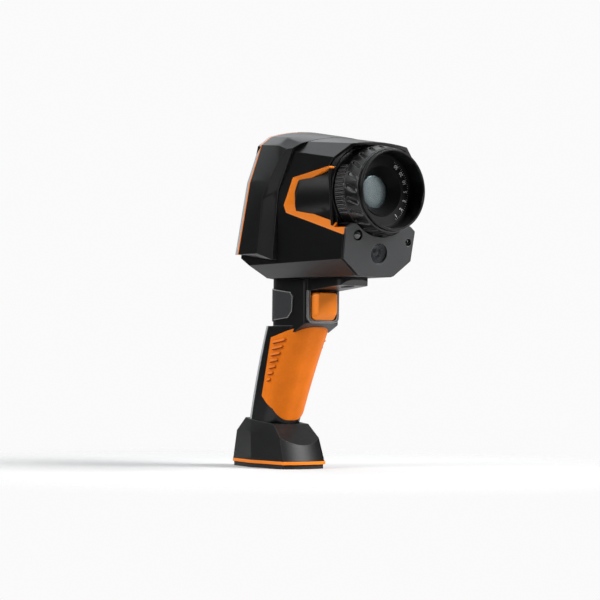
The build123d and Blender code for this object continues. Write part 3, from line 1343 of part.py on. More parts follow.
with BuildPart() as trigger_rim:
    with BuildSketch(Plane.XZ.offset(-NECK_FRONT - TRIGGER_RIM)):
        with Locations((0, (RIM_LOW + HEAD_BOTTOM) / 2)):
            RectangleRounded(2 * (POCKET_HALF_WIDTH + TRIGGER_RIM_WIDTH), HEAD_BOTTOM - RIM_LOW, 4.6)
        with Locations((0, TRIGGER_MIDDLE + SADDLE_ROOT_DEPTH / 2)):
            RectangleRounded(
                2 * POCKET_HALF_WIDTH, TRIGGER_HEIGHT + 2 * LOOSE_FIT + SADDLE_ROOT_DEPTH, 3.4,
                mode=Mode.SUBTRACT)
    extrude(amount=2 * TRIGGER_RIM)
    add(saddle_solid(), mode=Mode.SUBTRACT)
    add(neck.part, mode=Mode.SUBTRACT)
    add(above_slope(0), mode=Mode.INTERSECT)
    split(bisect_by=Plane.XY.offset(SADDLE_LOW), keep=Keep.BOTTOM)
trigger_rim.part.label = "trigger_rim"

SWITCH_FRONT = TRIGGER_BACK + TRIGGER_TRAVEL + 0.4
with BuildPart() as trigger_switch:
    with Locations((0, SWITCH_FRONT + 3.0, TRIGGER_MIDDLE)):
        Box(10.0, 6.0, 13.0)
    with Locations((0, SWITCH_FRONT + 4.0, TRIGGER_MIDDLE)):
        Box(2 * (NECK_HALF_WIDTH - WALL - SEAM), 2.0, 6.0)
trigger_switch.part.label = "trigger_switch"

with BuildPart() as trigger_spring:
    spring_length = TRIGGER_LENGTH - 3.0 - LOOSE_FIT
    with BuildLine():
        coil = Helix(
            spring_length / SPRING_TURNS,
            spring_length - SPRING_WIRE,
            SPRING_RADIUS - SPRING_WIRE / 2,
            center=(0, SWITCH_FRONT - SPRING_WIRE / 2 - SEAM, TRIGGER_MIDDLE),
            direction=(0, -1, 0),
        )
    with BuildSketch(Plane(origin=coil @ 0, z_dir=coil % 0)):
        Rectangle(SPRING_WIRE, SPRING_WIRE)
    sweep(is_frenet=True)
trigger_spring.part.label = "trigger_spring"

# ---------------------------------------------------------------- foot
def foot_section(plane, half_width, front, side_corner, back, back_half_width):
    """Six-sided outline with a bowed front."""
    with BuildSketch(plane) as section:
        with BuildLine():
            ThreePointArc((-half_width, front), (0, front - FOOT_BULGE), (half_width, front))
            Polyline(
                (half_width, front), (half_width, side_corner), (back_half_width, back),
                (-back_half_width, back), (-half_width, side_corner), (-half_width, front),
            )
        make_face()
    return section.sketch


FOOT_LINE_TOP = SOLE_THICKNESS + FOOT_LINE_HEIGHT


def wall_at(z, depth):
    """The foot's walls at height z, moved in by depth."""
    front_rise, back_rise, side_rise = [
        (z - FOOT_LINE_TOP) / (height - FOOT_LINE_TOP)
        for height in (SHOULDER_FRONT[1], SHOULDER_BACK[1], SHOULDER_SIDE[1])
    ]
    return foot_section(
        Plane.XY.offset(z),
        FOOT_HALF_WIDTH - SHOULDER_INSET * side_rise - depth,
        FOOT_FRONT + SHOULDER_FRONT[0] * front_rise + depth,
        FOOT_SIDE_CORNER + SHOULDER_SIDE[0] * side_rise,
        FOOT_BACK - SHOULDER_BACK[0] * back_rise - depth,
        FOOT_BACK_HALF_WIDTH - SHOULDER_INSET * back_rise - depth / 2,
    )


def roof_planes():
    """Planes of the foot's roof: front, back, and two on each side, from three points each."""
    side = FOOT_HALF_WIDTH - SHOULDER_INSET
    front = Vector(side, FOOT_FRONT + SHOULDER_FRONT[0], SHOULDER_FRONT[1])
    middle = Vector(side, FOOT_SIDE_CORNER + SHOULDER_SIDE[0], SHOULDER_SIDE[1])
    back = Vector(
        FOOT_BACK_HALF_WIDTH - SHOULDER_INSET, FOOT_BACK - SHOULDER_BACK[0], SHOULDER_BACK[1])
    slope = tan(FOOT_TOP_ANGLE)
    run = back - middle
    outward = Vector(run.Y, -run.X).normalized()
    corner = Vector(
        GRIP_LOW_HALF_WIDTH - GRIP_CORNER, GRIP_LOW_CENTRE + GRIP_LOW_HALF_DEPTH - GRIP_CORNER)
    collar = [
        corner + outward * (GRIP_CORNER + FOOT_COLLAR),
        Vector(GRIP_LOW_HALF_WIDTH + FOOT_COLLAR, GRIP_LOW_CENTRE),
        Vector(0, GRIP_LOW_CENTRE - GRIP_LOW_HALF_DEPTH - FOOT_COLLAR),
        Vector(0, GRIP_LOW_CENTRE + GRIP_LOW_HALF_DEPTH + FOOT_COLLAR),
    ]
    seat_back, seat_side, seat_front, seat_rear = [
        Vector(point.X, point.Y, FOOT_TOP + slope * point.Y) for point in collar]
    corners = []
    for side in (-1, 1):
        for faces in ((front, middle, seat_side), (middle, back, seat_back)):
            corners.append([Vector(side * point.X, point.Y, point.Z) for point in faces])
    corners.append([front, Vector(-front.X, front.Y, front.Z), seat_front])
    corners.append([back, Vector(-back.X, back.Y, back.Z), seat_rear])
    planes = []
    for a, b, c in corners:
        normal = (b - a).cross(c - a)
        planes.append(Plane(origin=a, z_dir=normal if normal.Z > 0 else -normal))
    return planes


def foot_solid(depth):
    """The foot's shell shape, with its walls and roof moved in by depth."""
    with BuildPart() as foot:
        walls = [wall_at(FOOT_LINE_TOP, depth), wall_at(FOOT_TOP + SOLE_THICKNESS, depth)]
        loft(sections=walls, ruled=True)
        split(bisect_by=FOOT_TOP_PLANE, keep=Keep.BOTTOM)
        for plane in roof_planes():
            split(bisect_by=plane.offset(-depth), keep=Keep.BOTTOM)
    return foot.part


PACK = (BATTERY_HALF_WIDTH, BATTERY_HALF_DEPTH, BATTERY_CORNER)
LID = (BATTERY_LID_HALF_WIDTH, BATTERY_LID_HALF_DEPTH, BATTERY_LID_CORNER)


def bay_prism(outline, grow, bottom, top):
    """Straight prism along the battery's slide, from bottom to top along it."""
    half_width, half_depth, corner = outline
    with BuildPart() as prism:
        with BuildSketch(BAY.offset(bottom)):
            RectangleRounded(2 * (half_width + grow), 2 * (half_depth + grow), corner + grow)
        extrude(amount=top - bottom)
    return prism.part


with BuildPart() as foot_housing:
    add(foot_solid(0))
    add(foot_solid(WALL), mode=Mode.SUBTRACT)
    with BuildSketch(FOOT_TOP_PLANE.offset(-3 * WALL)):
        with Locations((0, GRIP_LOW_CENTRE)):
            RectangleRounded(
                2 * (GRIP_LOW_HALF_WIDTH - WALL), 2 * (GRIP_LOW_HALF_DEPTH - WALL), GRIP_CORNER - WALL)
    extrude(amount=4 * WALL, mode=Mode.SUBTRACT)
foot_housing.part.label = "foot_housing"

with BuildPart() as foot_line:
    with BuildSketch(Plane.XY.offset(SOLE_THICKNESS + SEAM)):
        add(foot_section(
            Plane.XY, FOOT_HALF_WIDTH + FOOT_LINE_PROUD, FOOT_FRONT - FOOT_LINE_PROUD,
            FOOT_SIDE_CORNER, FOOT_BACK + FOOT_LINE_PROUD, FOOT_BACK_HALF_WIDTH,
        ))
        add(foot_section(
            Plane.XY, FOOT_HALF_WIDTH - WALL, FOOT_FRONT + WALL,
            FOOT_SIDE_CORNER, FOOT_BACK - WALL, FOOT_BACK_HALF_WIDTH - WALL / 2,
        ), mode=Mode.SUBTRACT)
    extrude(amount=FOOT_LINE_HEIGHT - 2 * SEAM)
foot_line.part.label = "foot_line"

with BuildPart() as sole:
    with BuildSketch():
        add(foot_section(
            Plane.XY, FOOT_HALF_WIDTH - SOLE_SETBACK, FOOT_FRONT + SOLE_SETBACK,
            FOOT_SIDE_CORNER, FOOT_BACK - SOLE_SETBACK, FOOT_BACK_HALF_WIDTH - SOLE_SETBACK / 2,
        ))
    extrude(amount=SOLE_THICKNESS)
    add(bay_prism(LID, LOOSE_FIT, -20.0, 20.0), mode=Mode.SUBTRACT)
sole.part.label = "sole"

# ---------------------------------------------------------------- battery
with BuildPart() as battery_case:
    add(bay_prism(PACK, 0, 0, BATTERY_TOP))
    add(bay_prism(LID, 0, -20.0, 20.0))
    with BuildSketch(Plane.XY.offset(BATTERY_LIFT)):
        with Locations((0, BAY_FOOT_Y)):
            Rectangle(FAR, FAR)
    extrude(amount=FAR, mode=Mode.INTERSECT)
    with BuildSketch(Plane.XY.offset(SOLE_THICKNESS)):
        with Locations((0, BAY_FOOT_Y)):
            Rectangle(FAR, FAR)
    extrude(amount=20.0, mode=Mode.SUBTRACT)
    add(bay_prism(PACK, 0, 0, BATTERY_TOP).split(Plane.XY.offset(SOLE_THICKNESS), keep=Keep.TOP))
    add(bay_prism(PACK, -BATTERY_WALL, 6.0, BATTERY_TOP - BATTERY_WALL), mode=Mode.SUBTRACT)
    with BuildSketch(BAY.offset(BATTERY_TOP)):
        with GridLocations(5.0, 1.0, 4, 1):
            Rectangle(2.6, 7.0)
    extrude(amount=-BATTERY_WALL, mode=Mode.SUBTRACT)
battery_case.part.label = "battery_case"

with BuildPart() as battery_cells:
    cells_top = BATTERY_TOP - BATTERY_WALL - SEAM
    add(bay_prism(PACK, -BATTERY_WALL - SEAM, 6.0 + SEAM, cells_top))
    with BuildSketch(BAY.offset(cells_top)):
        with GridLocations(5.0, 1.0, 4, 1):
            Rectangle(2.4, 6.8)
    extrude(amount=BATTERY_WALL - 0.3)
battery_cells.part.label = "battery_cells"

with BuildPart() as battery_contacts:
    with BuildSketch(BAY.offset(BATTERY_TOP + LOOSE_FIT)):
        Rectangle(2 * BATTERY_HALF_WIDTH, 11.0)
    extrude(amount=4.0)
battery_contacts.part.label = "battery_contacts"

# ---------------------------------------------------------------- tripod socket
with BuildPart() as tripod_insert:
    share = (NECK_FRONT - TRIPOD_Y) / (NECK_FRONT - SADDLE_TIP)
    insert_low = HEAD_BOTTOM - lerp(SADDLE_ROOT_DEPTH, SADDLE_DEPTH, share) + TRIPOD_RECESS
    with Locations((0, TRIPOD_Y, insert_low)):
        Cylinder(
            TRIPOD_INSERT_RADIUS, TRIPOD_DEPTH + 1.2, align=(Align.CENTER, Align.CENTER, Align.MIN))
        Cylinder(
            TRIPOD_THREAD_RADIUS, TRIPOD_DEPTH, align=(Align.CENTER, Align.CENTER, Align.MIN),
            mode=Mode.SUBTRACT)
tripod_insert.part.label = "tripod_insert"

PARTS = [
    housing_left, housing_right, display_frame.part, display_line.part, rear_bezel.part,
    display_window.part, lcd_module.part, chassis.part, main_board.part, keypad_board.part,
    key_left, key_right, nav_cradle.part, nav_gimbal.part, nav_stick.part, nav_cap.part,
    lens_fairing.part, accent_left, accent_right, front_bulkhead.part, lens_mount, lens_seal,
    lens_barrel, bayonet_ring.part, focus_ring.part, lens_cell, objective_glass.part,
    retaining_ring, rear_element.part, detector_module.part, shutter_motor.part,
    shutter_blade.part, front_plate.part, camera_window.part, camera_module.part,
    lamp_module.part, release_button.part, port_bay.part, port_flap.part, port_pin.part,
    handle_left, handle_right, handle_screws.part, grip_cover.part, handle_spine.part,
    neck_pad.part, trigger.part, trigger_rim.part, trigger_switch.part, trigger_spring.part,
    foot_housing.part, foot_line.part, sole.part, battery_case.part, battery_cells.part,
    battery_contacts.part, tripod_insert.part,
]
os.makedirs("parts", exist_ok=True)
for piece in PARTS:
    export_step(piece, f"parts/{piece.label}.step")
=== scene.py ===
"""Finishes, printed marks and small fittings of a handheld thermal imaging camera."""
import json
from math import cos, pi, radians, sin

import bpy
from mathutils import Matrix, Vector


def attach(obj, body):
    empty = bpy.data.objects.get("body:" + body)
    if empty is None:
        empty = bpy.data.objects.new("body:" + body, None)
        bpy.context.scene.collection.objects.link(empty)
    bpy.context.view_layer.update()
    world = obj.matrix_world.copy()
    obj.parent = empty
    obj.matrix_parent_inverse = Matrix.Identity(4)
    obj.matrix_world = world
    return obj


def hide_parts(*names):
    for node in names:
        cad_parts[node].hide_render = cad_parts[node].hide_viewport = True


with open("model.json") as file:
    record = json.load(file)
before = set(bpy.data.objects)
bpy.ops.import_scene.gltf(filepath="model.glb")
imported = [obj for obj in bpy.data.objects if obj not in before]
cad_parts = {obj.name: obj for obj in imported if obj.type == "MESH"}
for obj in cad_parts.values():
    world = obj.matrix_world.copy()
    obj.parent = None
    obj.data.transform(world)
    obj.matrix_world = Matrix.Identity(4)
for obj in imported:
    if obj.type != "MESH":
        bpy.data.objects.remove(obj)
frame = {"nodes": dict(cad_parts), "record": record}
nodes = frame["nodes"]
node_slots = {entry["node"]: entry["material_slot"] for entry in frame["record"]["subparts"]}
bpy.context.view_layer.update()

MM = 0.001
LENS_HEIGHT = 191.5               # lens axis above the floor
PLATE_TILT = radians(10)          # front plate, looking down
DISPLAY_TILT = radians(15)        # display, looking up


def slanted(origin, across, outwards):
    """Frame on a sloping face: x across it, y up it and z out of it, places in millimetres."""
    z = Vector(outwards).normalized()
    x = Vector(across).normalized()
    place = Matrix((x, z.cross(x), z)).transposed().to_4x4()
    place.translation = Vector(origin) * MM
    return place


PLATE = slanted((0, -117.4, 148.0), (1, 0, 0), (0, -cos(PLATE_TILT), -sin(PLATE_TILT)))
DISPLAY = slanted((0, -17.4, 149.7), (-1, 0, 0), (0, cos(DISPLAY_TILT), sin(DISPLAY_TILT)))
PORT = slanted((34.43, -84.0, 154.4), (0.1295, 0.9916, 0), (0.9862, -0.1288, -0.1044))
LENS = slanted((0, 0, LENS_HEIGHT), (1, 0, 0), (0, -1, 0))


# ---------------------------------------------------------------- shader nodes
def number(tree, operation, first, second=None):
    """Math node on two sockets or plain numbers; returns its result."""
    node = tree.nodes.new("ShaderNodeMath")
    node.operation = operation
    for slot, value in enumerate((first, second)):
        if value is None:
            continue
        if isinstance(value, (int, float)):
            node.inputs[slot].default_value = value
        else:
            tree.links.new(value, node.inputs[slot])
    return node.outputs[0]


def vector(tree, operation, first, second=None):
    """Vector Math node on sockets or a plain second vector; returns its result."""
    node = tree.nodes.new("ShaderNodeVectorMath")
    node.operation = operation
    tree.links.new(first, node.inputs[0])
    if isinstance(second, tuple):
        node.inputs[1].default_value = second
    elif second is not None:
        tree.links.new(second, node.inputs[1])
    return node.outputs["Value" if operation in ("DOT_PRODUCT", "LENGTH") else "Vector"]


def spread(tree, value, low, high, to_low=0.0, to_high=1.0, smooth=False):
    """Map Range node that stays between its limits."""
    node = tree.nodes.new("ShaderNodeMapRange")
    node.interpolation_type = "SMOOTHSTEP" if smooth else "LINEAR"
    node.inputs["From Min"].default_value = low
    node.inputs["From Max"].default_value = high
    node.inputs["To Min"].default_value = to_low
    node.inputs["To Max"].default_value = to_high
    tree.links.new(value, node.inputs["Value"])
    return node.outputs[0]


def noise(tree, where, size, detail=3.0, roughness=0.55):
    """Noise over a place, its size a number or a socket."""
    node = tree.nodes.new("ShaderNodeTexNoise")
    node.inputs["Detail"].default_value = detail
    node.inputs["Roughness"].default_value = roughness
    tree.links.new(where, node.inputs["Vector"])
    if isinstance(size, (int, float)):
        node.inputs["Scale"].default_value = size
    else:
        tree.links.new(size, node.inputs["Scale"])
    return node.outputs["Fac"]


def object_place(tree):
    return tree.nodes.new("ShaderNodeTexCoord").outputs["Object"]


def surface_normal(tree):
    return tree.nodes.new("ShaderNodeNewGeometry").outputs["Normal"]


def component(tree, of_vector, axis):
    split = tree.nodes.new("ShaderNodeSeparateXYZ")
    tree.links.new(of_vector, split.inputs[0])
    return split.outputs[axis]


def from_lens_axis(tree):
    """Distance from the lens axis, in metres."""
    centred = vector(tree, "SUBTRACT", object_place(tree), (0, 0, LENS_HEIGHT * MM))
    return vector(tree, "LENGTH", vector(tree, "MULTIPLY", centred, (1, 0, 1)))


def tint(tree, mask, under, over):
    """Colour that goes from under to over with a mask."""
    node = tree.nodes.new("ShaderNodeMix")
    node.data_type = "RGBA"
    tree.links.new(mask, node.inputs["Factor"])
    for label, value in (("A", under), ("B", over)):
        socket = [s for s in node.inputs if s.name == label and s.type == "RGBA"][0]
        if isinstance(value, tuple):
            socket.default_value = (*value, 1)
        else:
            tree.links.new(value, socket)
    return [s for s in node.outputs if s.type == "RGBA"][0]


def blended(tree, share, first, second, out):
    """Mix Shader from first to second into the tree's output."""
    mix = tree.nodes.new("ShaderNodeMixShader")
    for slot, socket in enumerate((share, first, second)):
        tree.links.new(socket, mix.inputs[slot])
    tree.links.new(mix.outputs[0], out.inputs[0])


def relief(tree, shader, height, strength, depth, normal=None):
    """Bump of a depth in metres, on top of a normal where one is given."""
    bump = tree.nodes.new("ShaderNodeBump")
    bump.inputs["Strength"].default_value = strength
    bump.inputs["Distance"].default_value = depth
    tree.links.new(height, bump.inputs["Height"])
    if normal is not None:
        tree.links.new(normal, bump.inputs["Normal"])
    tree.links.new(bump.outputs[0], shader.inputs["Normal"])


def shade(colour, amount):
    return tuple(min(1.0, c * amount) for c in colour)


# ---------------------------------------------------------------- camera, floor and light
EYE = (-984.02, -1332.32, 75.455)
TARGET = (0.0, -30.13, 118.99)
ROLL = radians(0.5385)
FOCAL_LENGTH = 138.57

PALE = (0.96, 0.96, 0.96)
CLOTH_COLOUR = (0.96, 0.98, 1.0)
CLOTH_SIDE = (0.0, 0.60, 0.80)     # overhead cloth, leaning towards the back
CLOTH_EDGE = (0.55, 0.90)          # cosines from its side at which it begins and is full
CLOTH_STRENGTH = (0.03, 1.5)

FLOOR_COLOUR = (0.58, 0.58, 0.58)
FLOOR_RADIUS = 0.75
FLOOR_CENTRE = (0.25, -0.25, -0.00005)
FLOOR_FADE = (0.10, 0.38)          # distances from the origin over which it melts into the backdrop


def place_camera():
    """Long lens in front and to one side, looking slightly up."""
    back = ((Vector(EYE) - Vector(TARGET)) * MM).normalized()
    level = Vector((0, 0, 1)).cross(back).normalized()
    upright = back.cross(level)
    right = cos(ROLL) * level + sin(ROLL) * upright
    up = cos(ROLL) * upright - sin(ROLL) * level
    lens = bpy.data.cameras.new("camera")
    lens.lens = FOCAL_LENGTH
    lens.sensor_width = 36.0
    lens.clip_end = 50.0
    camera = bpy.data.objects.new("camera", lens)
    bpy.context.scene.collection.objects.link(camera)
    place = Matrix((right, up, back)).transposed().to_4x4()
    place.translation = Vector(EYE) * MM
    camera.matrix_world = place
    bpy.context.scene.camera = camera


def soft_box(name, place, aim, width, height, power):
    """Rectangular lamp that looks at a point."""
    light = bpy.data.lights.new(name, "AREA")
    light.shape = "RECTANGLE"
    light.size = width
    light.size_y = height
    light.energy = power
    lamp = bpy.data.objects.new(name, light)
    bpy.context.scene.collection.objects.link(lamp)
    lamp.location = place
    lamp.rotation_euler = (Vector(aim) - Vector(place)).to_track_quat("-Z", "Y").to_euler()


def backdrop_world():
    """Pale backdrop for the camera, and a cloth overhead for everything else."""
    world = bpy.data.worlds.new("studio")
    bpy.context.scene.world = world
    world.use_nodes = True
    tree = world.node_tree
    tree.nodes.clear()
    backdrop = tree.nodes.new("ShaderNodeBackground")
    backdrop.inputs["Color"].default_value = (*PALE, 1)
    cloth = tree.nodes.new("ShaderNodeBackground")
    cloth.inputs["Color"].default_value = (*CLOTH_COLOUR, 1)
    direction = tree.nodes.new("ShaderNodeTexCoord").outputs["Generated"]
    towards = vector(tree, "DOT_PRODUCT", direction, CLOTH_SIDE)
    tree.links.new(spread(tree, towards, *CLOTH_EDGE, *CLOTH_STRENGTH, smooth=True), cloth.inputs["Strength"])
    seen = tree.nodes.new("ShaderNodeLightPath").outputs["Is Camera Ray"]
    blended(tree, seen, cloth.outputs[0], backdrop.outputs[0], tree.nodes.new("ShaderNodeOutputWorld"))


def lay_floor():
    """Matt sheet that takes the shadow and melts into the backdrop."""
    bpy.ops.object.select_all(action="DESELECT")
    bpy.ops.mesh.primitive_circle_add(
        vertices=96, radius=FLOOR_RADIUS, fill_type="NGON", location=FLOOR_CENTRE)
    floor = bpy.context.object
    floor.name = "floor"
    material = bpy.data.materials.new("pale_floor")
    material.use_nodes = True
    tree = material.node_tree
    tree.nodes.clear()
    matt = tree.nodes.new("ShaderNodeBsdfDiffuse")
    matt.inputs["Color"].default_value = (*FLOOR_COLOUR, 1)
    clear = tree.nodes.new("ShaderNodeBsdfTransparent")
    distance = vector(tree, "LENGTH", tree.nodes.new("ShaderNodeNewGeometry").outputs["Position"])
    seen = tree.nodes.new("ShaderNodeLightPath").outputs["Is Camera Ray"]
    share = number(tree, "MULTIPLY", spread(tree, distance, *FLOOR_FADE, smooth=True), seen)
    blended(tree, share, matt.outputs[0], clear.outputs[0], tree.nodes.new("ShaderNodeOutputMaterial"))
    floor.data.materials.append(material)


bpy.context.scene.view_settings.view_transform = "Standard"
place_camera()
backdrop_world()
lay_floor()
soft_box("front_light", (0.75, -1.20, 1.12), (0, -0.05, 0.12), 0.9, 0.9, 50.0)
soft_box("left_light", (-1.45, 0.10, 0.80), (0, -0.05, 0.13), 0.7, 0.7, 20.0)
soft_box("right_card", (1.10, -1.40, 0.35), (0, -0.10, 0.16), 1.2, 1.1, 1.3)


# ---------------------------------------------------------------- shared surface effects
def effect(name, given, default, outputs):
    """Shader node group with one number going in; returns it, that number and its output node."""
    group = bpy.data.node_groups.new(name, "ShaderNodeTree")
    socket = group.interface.new_socket(given, in_out="INPUT", socket_type="NodeSocketFloat")
    socket.default_value = default
    for label, kind in outputs:
        group.interface.new_socket(label, in_out="OUTPUT", socket_type=kind)
    entry = group.nodes.new("NodeGroupInput")
    return group, entry.outputs[given], group.nodes.new("NodeGroupOutput")


def make_spark_grain():
    """Eroded mould texture of plastic: rounded pits of uneven depth."""
    group, size, result = effect("spark_grain", "Size", 2200.0, [("Height", "NodeSocketFloat")])
    where = object_place(group)
    pits = group.nodes.new("ShaderNodeTexVoronoi")
    pits.feature = "SMOOTH_F1"
    group.links.new(where, pits.inputs["Vector"])
    group.links.new(size, pits.inputs["Scale"])
    fine = noise(group, where, number(group, "MULTIPLY", size, 1.7), 2.0)
    total = number(group, "ADD", number(group, "MULTIPLY", pits.outputs["Distance"], 0.7), fine)
    group.links.new(total, result.inputs["Height"])
    return group


def make_handling():
    """Broad uneven patches that hands and wiping leave on a surface."""
    group, size, result = effect("handling", "Size", 40.0, [("Mask", "NodeSocketFloat")])
    where = object_place(group)
    broad = number(group, "MULTIPLY", noise(group, where, size, 4.0, 0.6), 0.75)
    fine = number(group, "MULTIPLY", noise(group, where, number(group, "MULTIPLY", size, 9.0), 3.0), 0.25)
    group.links.new(spread(group, number(group, "ADD", broad, fine), 0.36, 0.66), result.inputs["Mask"])
    return group


def make_soft_edges():
    """Small radius on every corner, and a mask of the corners."""
    group, radius, result = effect(
        "soft_edges", "Radius", 0.0004, [("Normal", "NodeSocketVector"), ("Edge", "NodeSocketFloat")])
    rounding = group.nodes.new("ShaderNodeBevel")
    rounding.samples = 6
    group.links.new(radius, rounding.inputs["Radius"])
    turn = vector(group, "DOT_PRODUCT", rounding.outputs[0], surface_normal(group))
    bend = number(group, "SUBTRACT", 1.0, turn)
    group.links.new(rounding.outputs[0], result.inputs["Normal"])
    group.links.new(spread(group, bend, 0.004, 0.09), result.inputs["Edge"])
    return group


def make_turned_lines():
    """Fine circular lines that a lathe leaves round the lens axis."""
    group, size, result = effect("turned_lines", "Size", 5000.0, [("Height", "NodeSocketFloat")])
    along = group.nodes.new("ShaderNodeCombineXYZ")
    group.links.new(from_lens_axis(group), along.inputs["X"])
    group.links.new(component(group, object_place(group), "Y"), along.inputs["Y"])
    group.links.new(noise(group, along.outputs[0], size, 2.0), result.inputs["Height"])
    return group


def make_dust():
    """Thin dust on surfaces that face up."""
    group, amount, result = effect("dust", "Amount", 0.1, [("Mask", "NodeSocketFloat")])
    facing = spread(group, component(group, surface_normal(group), "Z"), 0.55, 1.0)
    specks = spread(group, noise(group, object_place(group), 260.0, 5.0, 0.7), 0.42, 0.75)
    total = number(group, "MULTIPLY", number(group, "MULTIPLY", facing, specks), amount)
    group.links.new(total, result.inputs["Mask"])
    return group


EFFECTS = {
    "grain": make_spark_grain(),
    "handling": make_handling(),
    "edges": make_soft_edges(),
    "turned": make_turned_lines(),
    "dust": make_dust(),
}


def use(tree, name, **values):
    """One of the shared effects placed in a material."""
    node = tree.nodes.new("ShaderNodeGroup")
    node.node_tree = EFFECTS[name]
    for label, value in values.items():
        node.inputs[label].default_value = value
    return node.outputs


# ---------------------------------------------------------------- kinds of finish
FINISHES = {}


def begin(name):
    """New material, kept in FINISHES under its name; returns its tree and shader."""
    material = bpy.data.materials.new(name)
    material.use_nodes = True
    FINISHES[name] = material
    tree = material.node_tree
    return tree, tree.nodes["Principled BSDF"]


def give(tree, shader, colour, roughness, specular=None):
    """Colour and roughness from sockets, and a plain specular level."""
    tree.links.new(colour, shader.inputs["Base Color"])
    tree.links.new(roughness, shader.inputs["Roughness"])
    if specular is not None:
        shader.inputs["Specular IOR Level"].default_value = specular


def paint_over(name, mask, colour):
    """Second colour on a finish, where the mask is 1."""
    tree = FINISHES[name].node_tree
    base = tree.nodes["Principled BSDF"].inputs["Base Color"]
    tree.links.new(tint(tree, mask, base.links[0].from_socket, colour), base)


def moulded(name, colour, roughness, specular, edge_highlight_colour,
            grain=2300.0, depth=0.35, radius=0.0005, dust=0.04):
    """Injection-moulded plastic with a spark-eroded skin and a painted highlight along its corners."""
    tree, shader = begin(name)
    edges = use(tree, "edges", Radius=radius)
    patches = use(tree, "handling", Size=38.0)["Mask"]
    body = tint(tree, patches, shade(colour, 0.94), shade(colour, 1.05))
    # Painted highlight: the corners are painted lighter, towards the given edge colour.
    edge_highlit = tint(tree, number(tree, "MULTIPLY", edges["Edge"], 0.8), body, edge_highlight_colour)
    dusty = tint(tree, use(tree, "dust", Amount=dust)["Mask"], edge_highlit, (0.35, 0.34, 0.33))
    give(tree, shader, dusty, spread(tree, patches, 0, 1, roughness - 0.012, roughness + 0.015), specular)
    relief(tree, shader, use(tree, "grain", Size=grain)["Height"], depth, 0.00003, edges["Normal"])


def rubbery(name, colour, roughness, specular):
    """Soft-touch elastomer: matt, fine pores, a little sheen at grazing angles, and a painted highlight along
    its corners.
    """
    tree, shader = begin(name)
    edges = use(tree, "edges", Radius=0.0005)
    patches = use(tree, "handling", Size=60.0)["Mask"]
    body = tint(tree, patches, shade(colour, 0.9), shade(colour, 1.08))
    # Painted highlight: the corners are painted half again lighter than the rubber.
    edge_highlit_rubber = tint(tree, number(tree, "MULTIPLY", edges["Edge"], 0.5), body, shade(colour, 1.5))
    give(tree, shader, edge_highlit_rubber, spread(tree, patches, 0, 1, roughness - 0.05, roughness + 0.05), specular)
    shader.inputs["Sheen Weight"].default_value = 0.03
    shader.inputs["Sheen Roughness"].default_value = 0.45
    relief(tree, shader, use(tree, "grain", Size=1500.0)["Height"], 0.5, 0.00006, edges["Normal"])


def turned(name, colour, roughness, specular):
    """Lens part turned on a lathe and blackened, with a painted highlight along its corners."""
    tree, shader = begin(name)
    edges = use(tree, "edges", Radius=0.0003)
    patches = use(tree, "handling", Size=70.0)["Mask"]
    body = tint(tree, patches, shade(colour, 0.85), shade(colour, 1.15))
    # Painted highlight: the corners are painted four times lighter than the part.
    edge_highlit = tint(tree, number(tree, "MULTIPLY", edges["Edge"], 0.7), body, shade(colour, 4.0))
    give(tree, shader, edge_highlit, spread(tree, patches, 0, 1, roughness - 0.03, roughness + 0.04), specular)
    relief(tree, shader, use(tree, "turned", Size=5200.0)["Height"], 0.25, 0.00002, edges["Normal"])


def bare_metal(name, colour, roughness):
    """Machined or pressed metal with fine scratches and a painted highlight along its corners."""
    tree, shader = begin(name)
    edges = use(tree, "edges", Radius=0.0002)
    patches = use(tree, "handling", Size=90.0)["Mask"]
    stretch = tree.nodes.new("ShaderNodeMapping")
    stretch.inputs["Scale"].default_value = (40.0, 900.0, 900.0)
    tree.links.new(object_place(tree), stretch.inputs["Vector"])
    scratches = noise(tree, stretch.outputs[0], 5.0, 4.0, 0.7)
    body = tint(tree, patches, shade(colour, 0.85), colour)
    # Painted highlight: the corners are painted a quarter lighter than the metal.
    edge_highlit_metal = tint(tree, edges["Edge"], body, shade(colour, 1.25))
    give(tree, shader, edge_highlit_metal, spread(tree, scratches, 0.3, 0.7, roughness - 0.06, roughness + 0.10))
    shader.inputs["Metallic"].default_value = 1.0
    relief(tree, shader, scratches, 0.12, 0.00002, edges["Normal"])


def clear_glass(name, colour, roughness=0.015):
    """Flat cover glass with faint wiping marks."""
    tree, shader = begin(name)
    patches = use(tree, "handling", Size=55.0)["Mask"]
    wiped = tint(tree, patches, colour, shade(colour, 0.94))
    give(tree, shader, wiped, spread(tree, patches, 0, 1, roughness, roughness + 0.03))
    shader.inputs["Transmission Weight"].default_value = 1.0
    shader.inputs["IOR"].default_value = 1.2


def infrared_glass(name):
    """Polished germanium with its grey-green coating, darker towards the rim."""
    tree, shader = begin(name)
    rim = spread(tree, from_lens_axis(tree), 0.0065, 0.0114)
    patches = use(tree, "handling", Size=120.0)["Mask"]
    coat = tint(tree, patches, (0.27, 0.33, 0.34), (0.30, 0.35, 0.36))
    give(tree, shader, tint(tree, rim, coat, (0.10, 0.14, 0.15)), spread(tree, patches, 0, 1, 0.20, 0.24))
    shader.inputs["Metallic"].default_value = 0.9


def tiled(tree, size, gap, colours):
    """Brick texture: two tile colours and the gap's colour."""
    tiles = tree.nodes.new("ShaderNodeTexBrick")
    tiles.inputs["Scale"].default_value = size
    tiles.inputs["Mortar Size"].default_value = gap
    for label, colour in zip(("Color1", "Color2", "Mortar"), colours):
        tiles.inputs[label].default_value = (*colour, 1)
    tree.links.new(object_place(tree), tiles.inputs["Vector"])
    return tiles


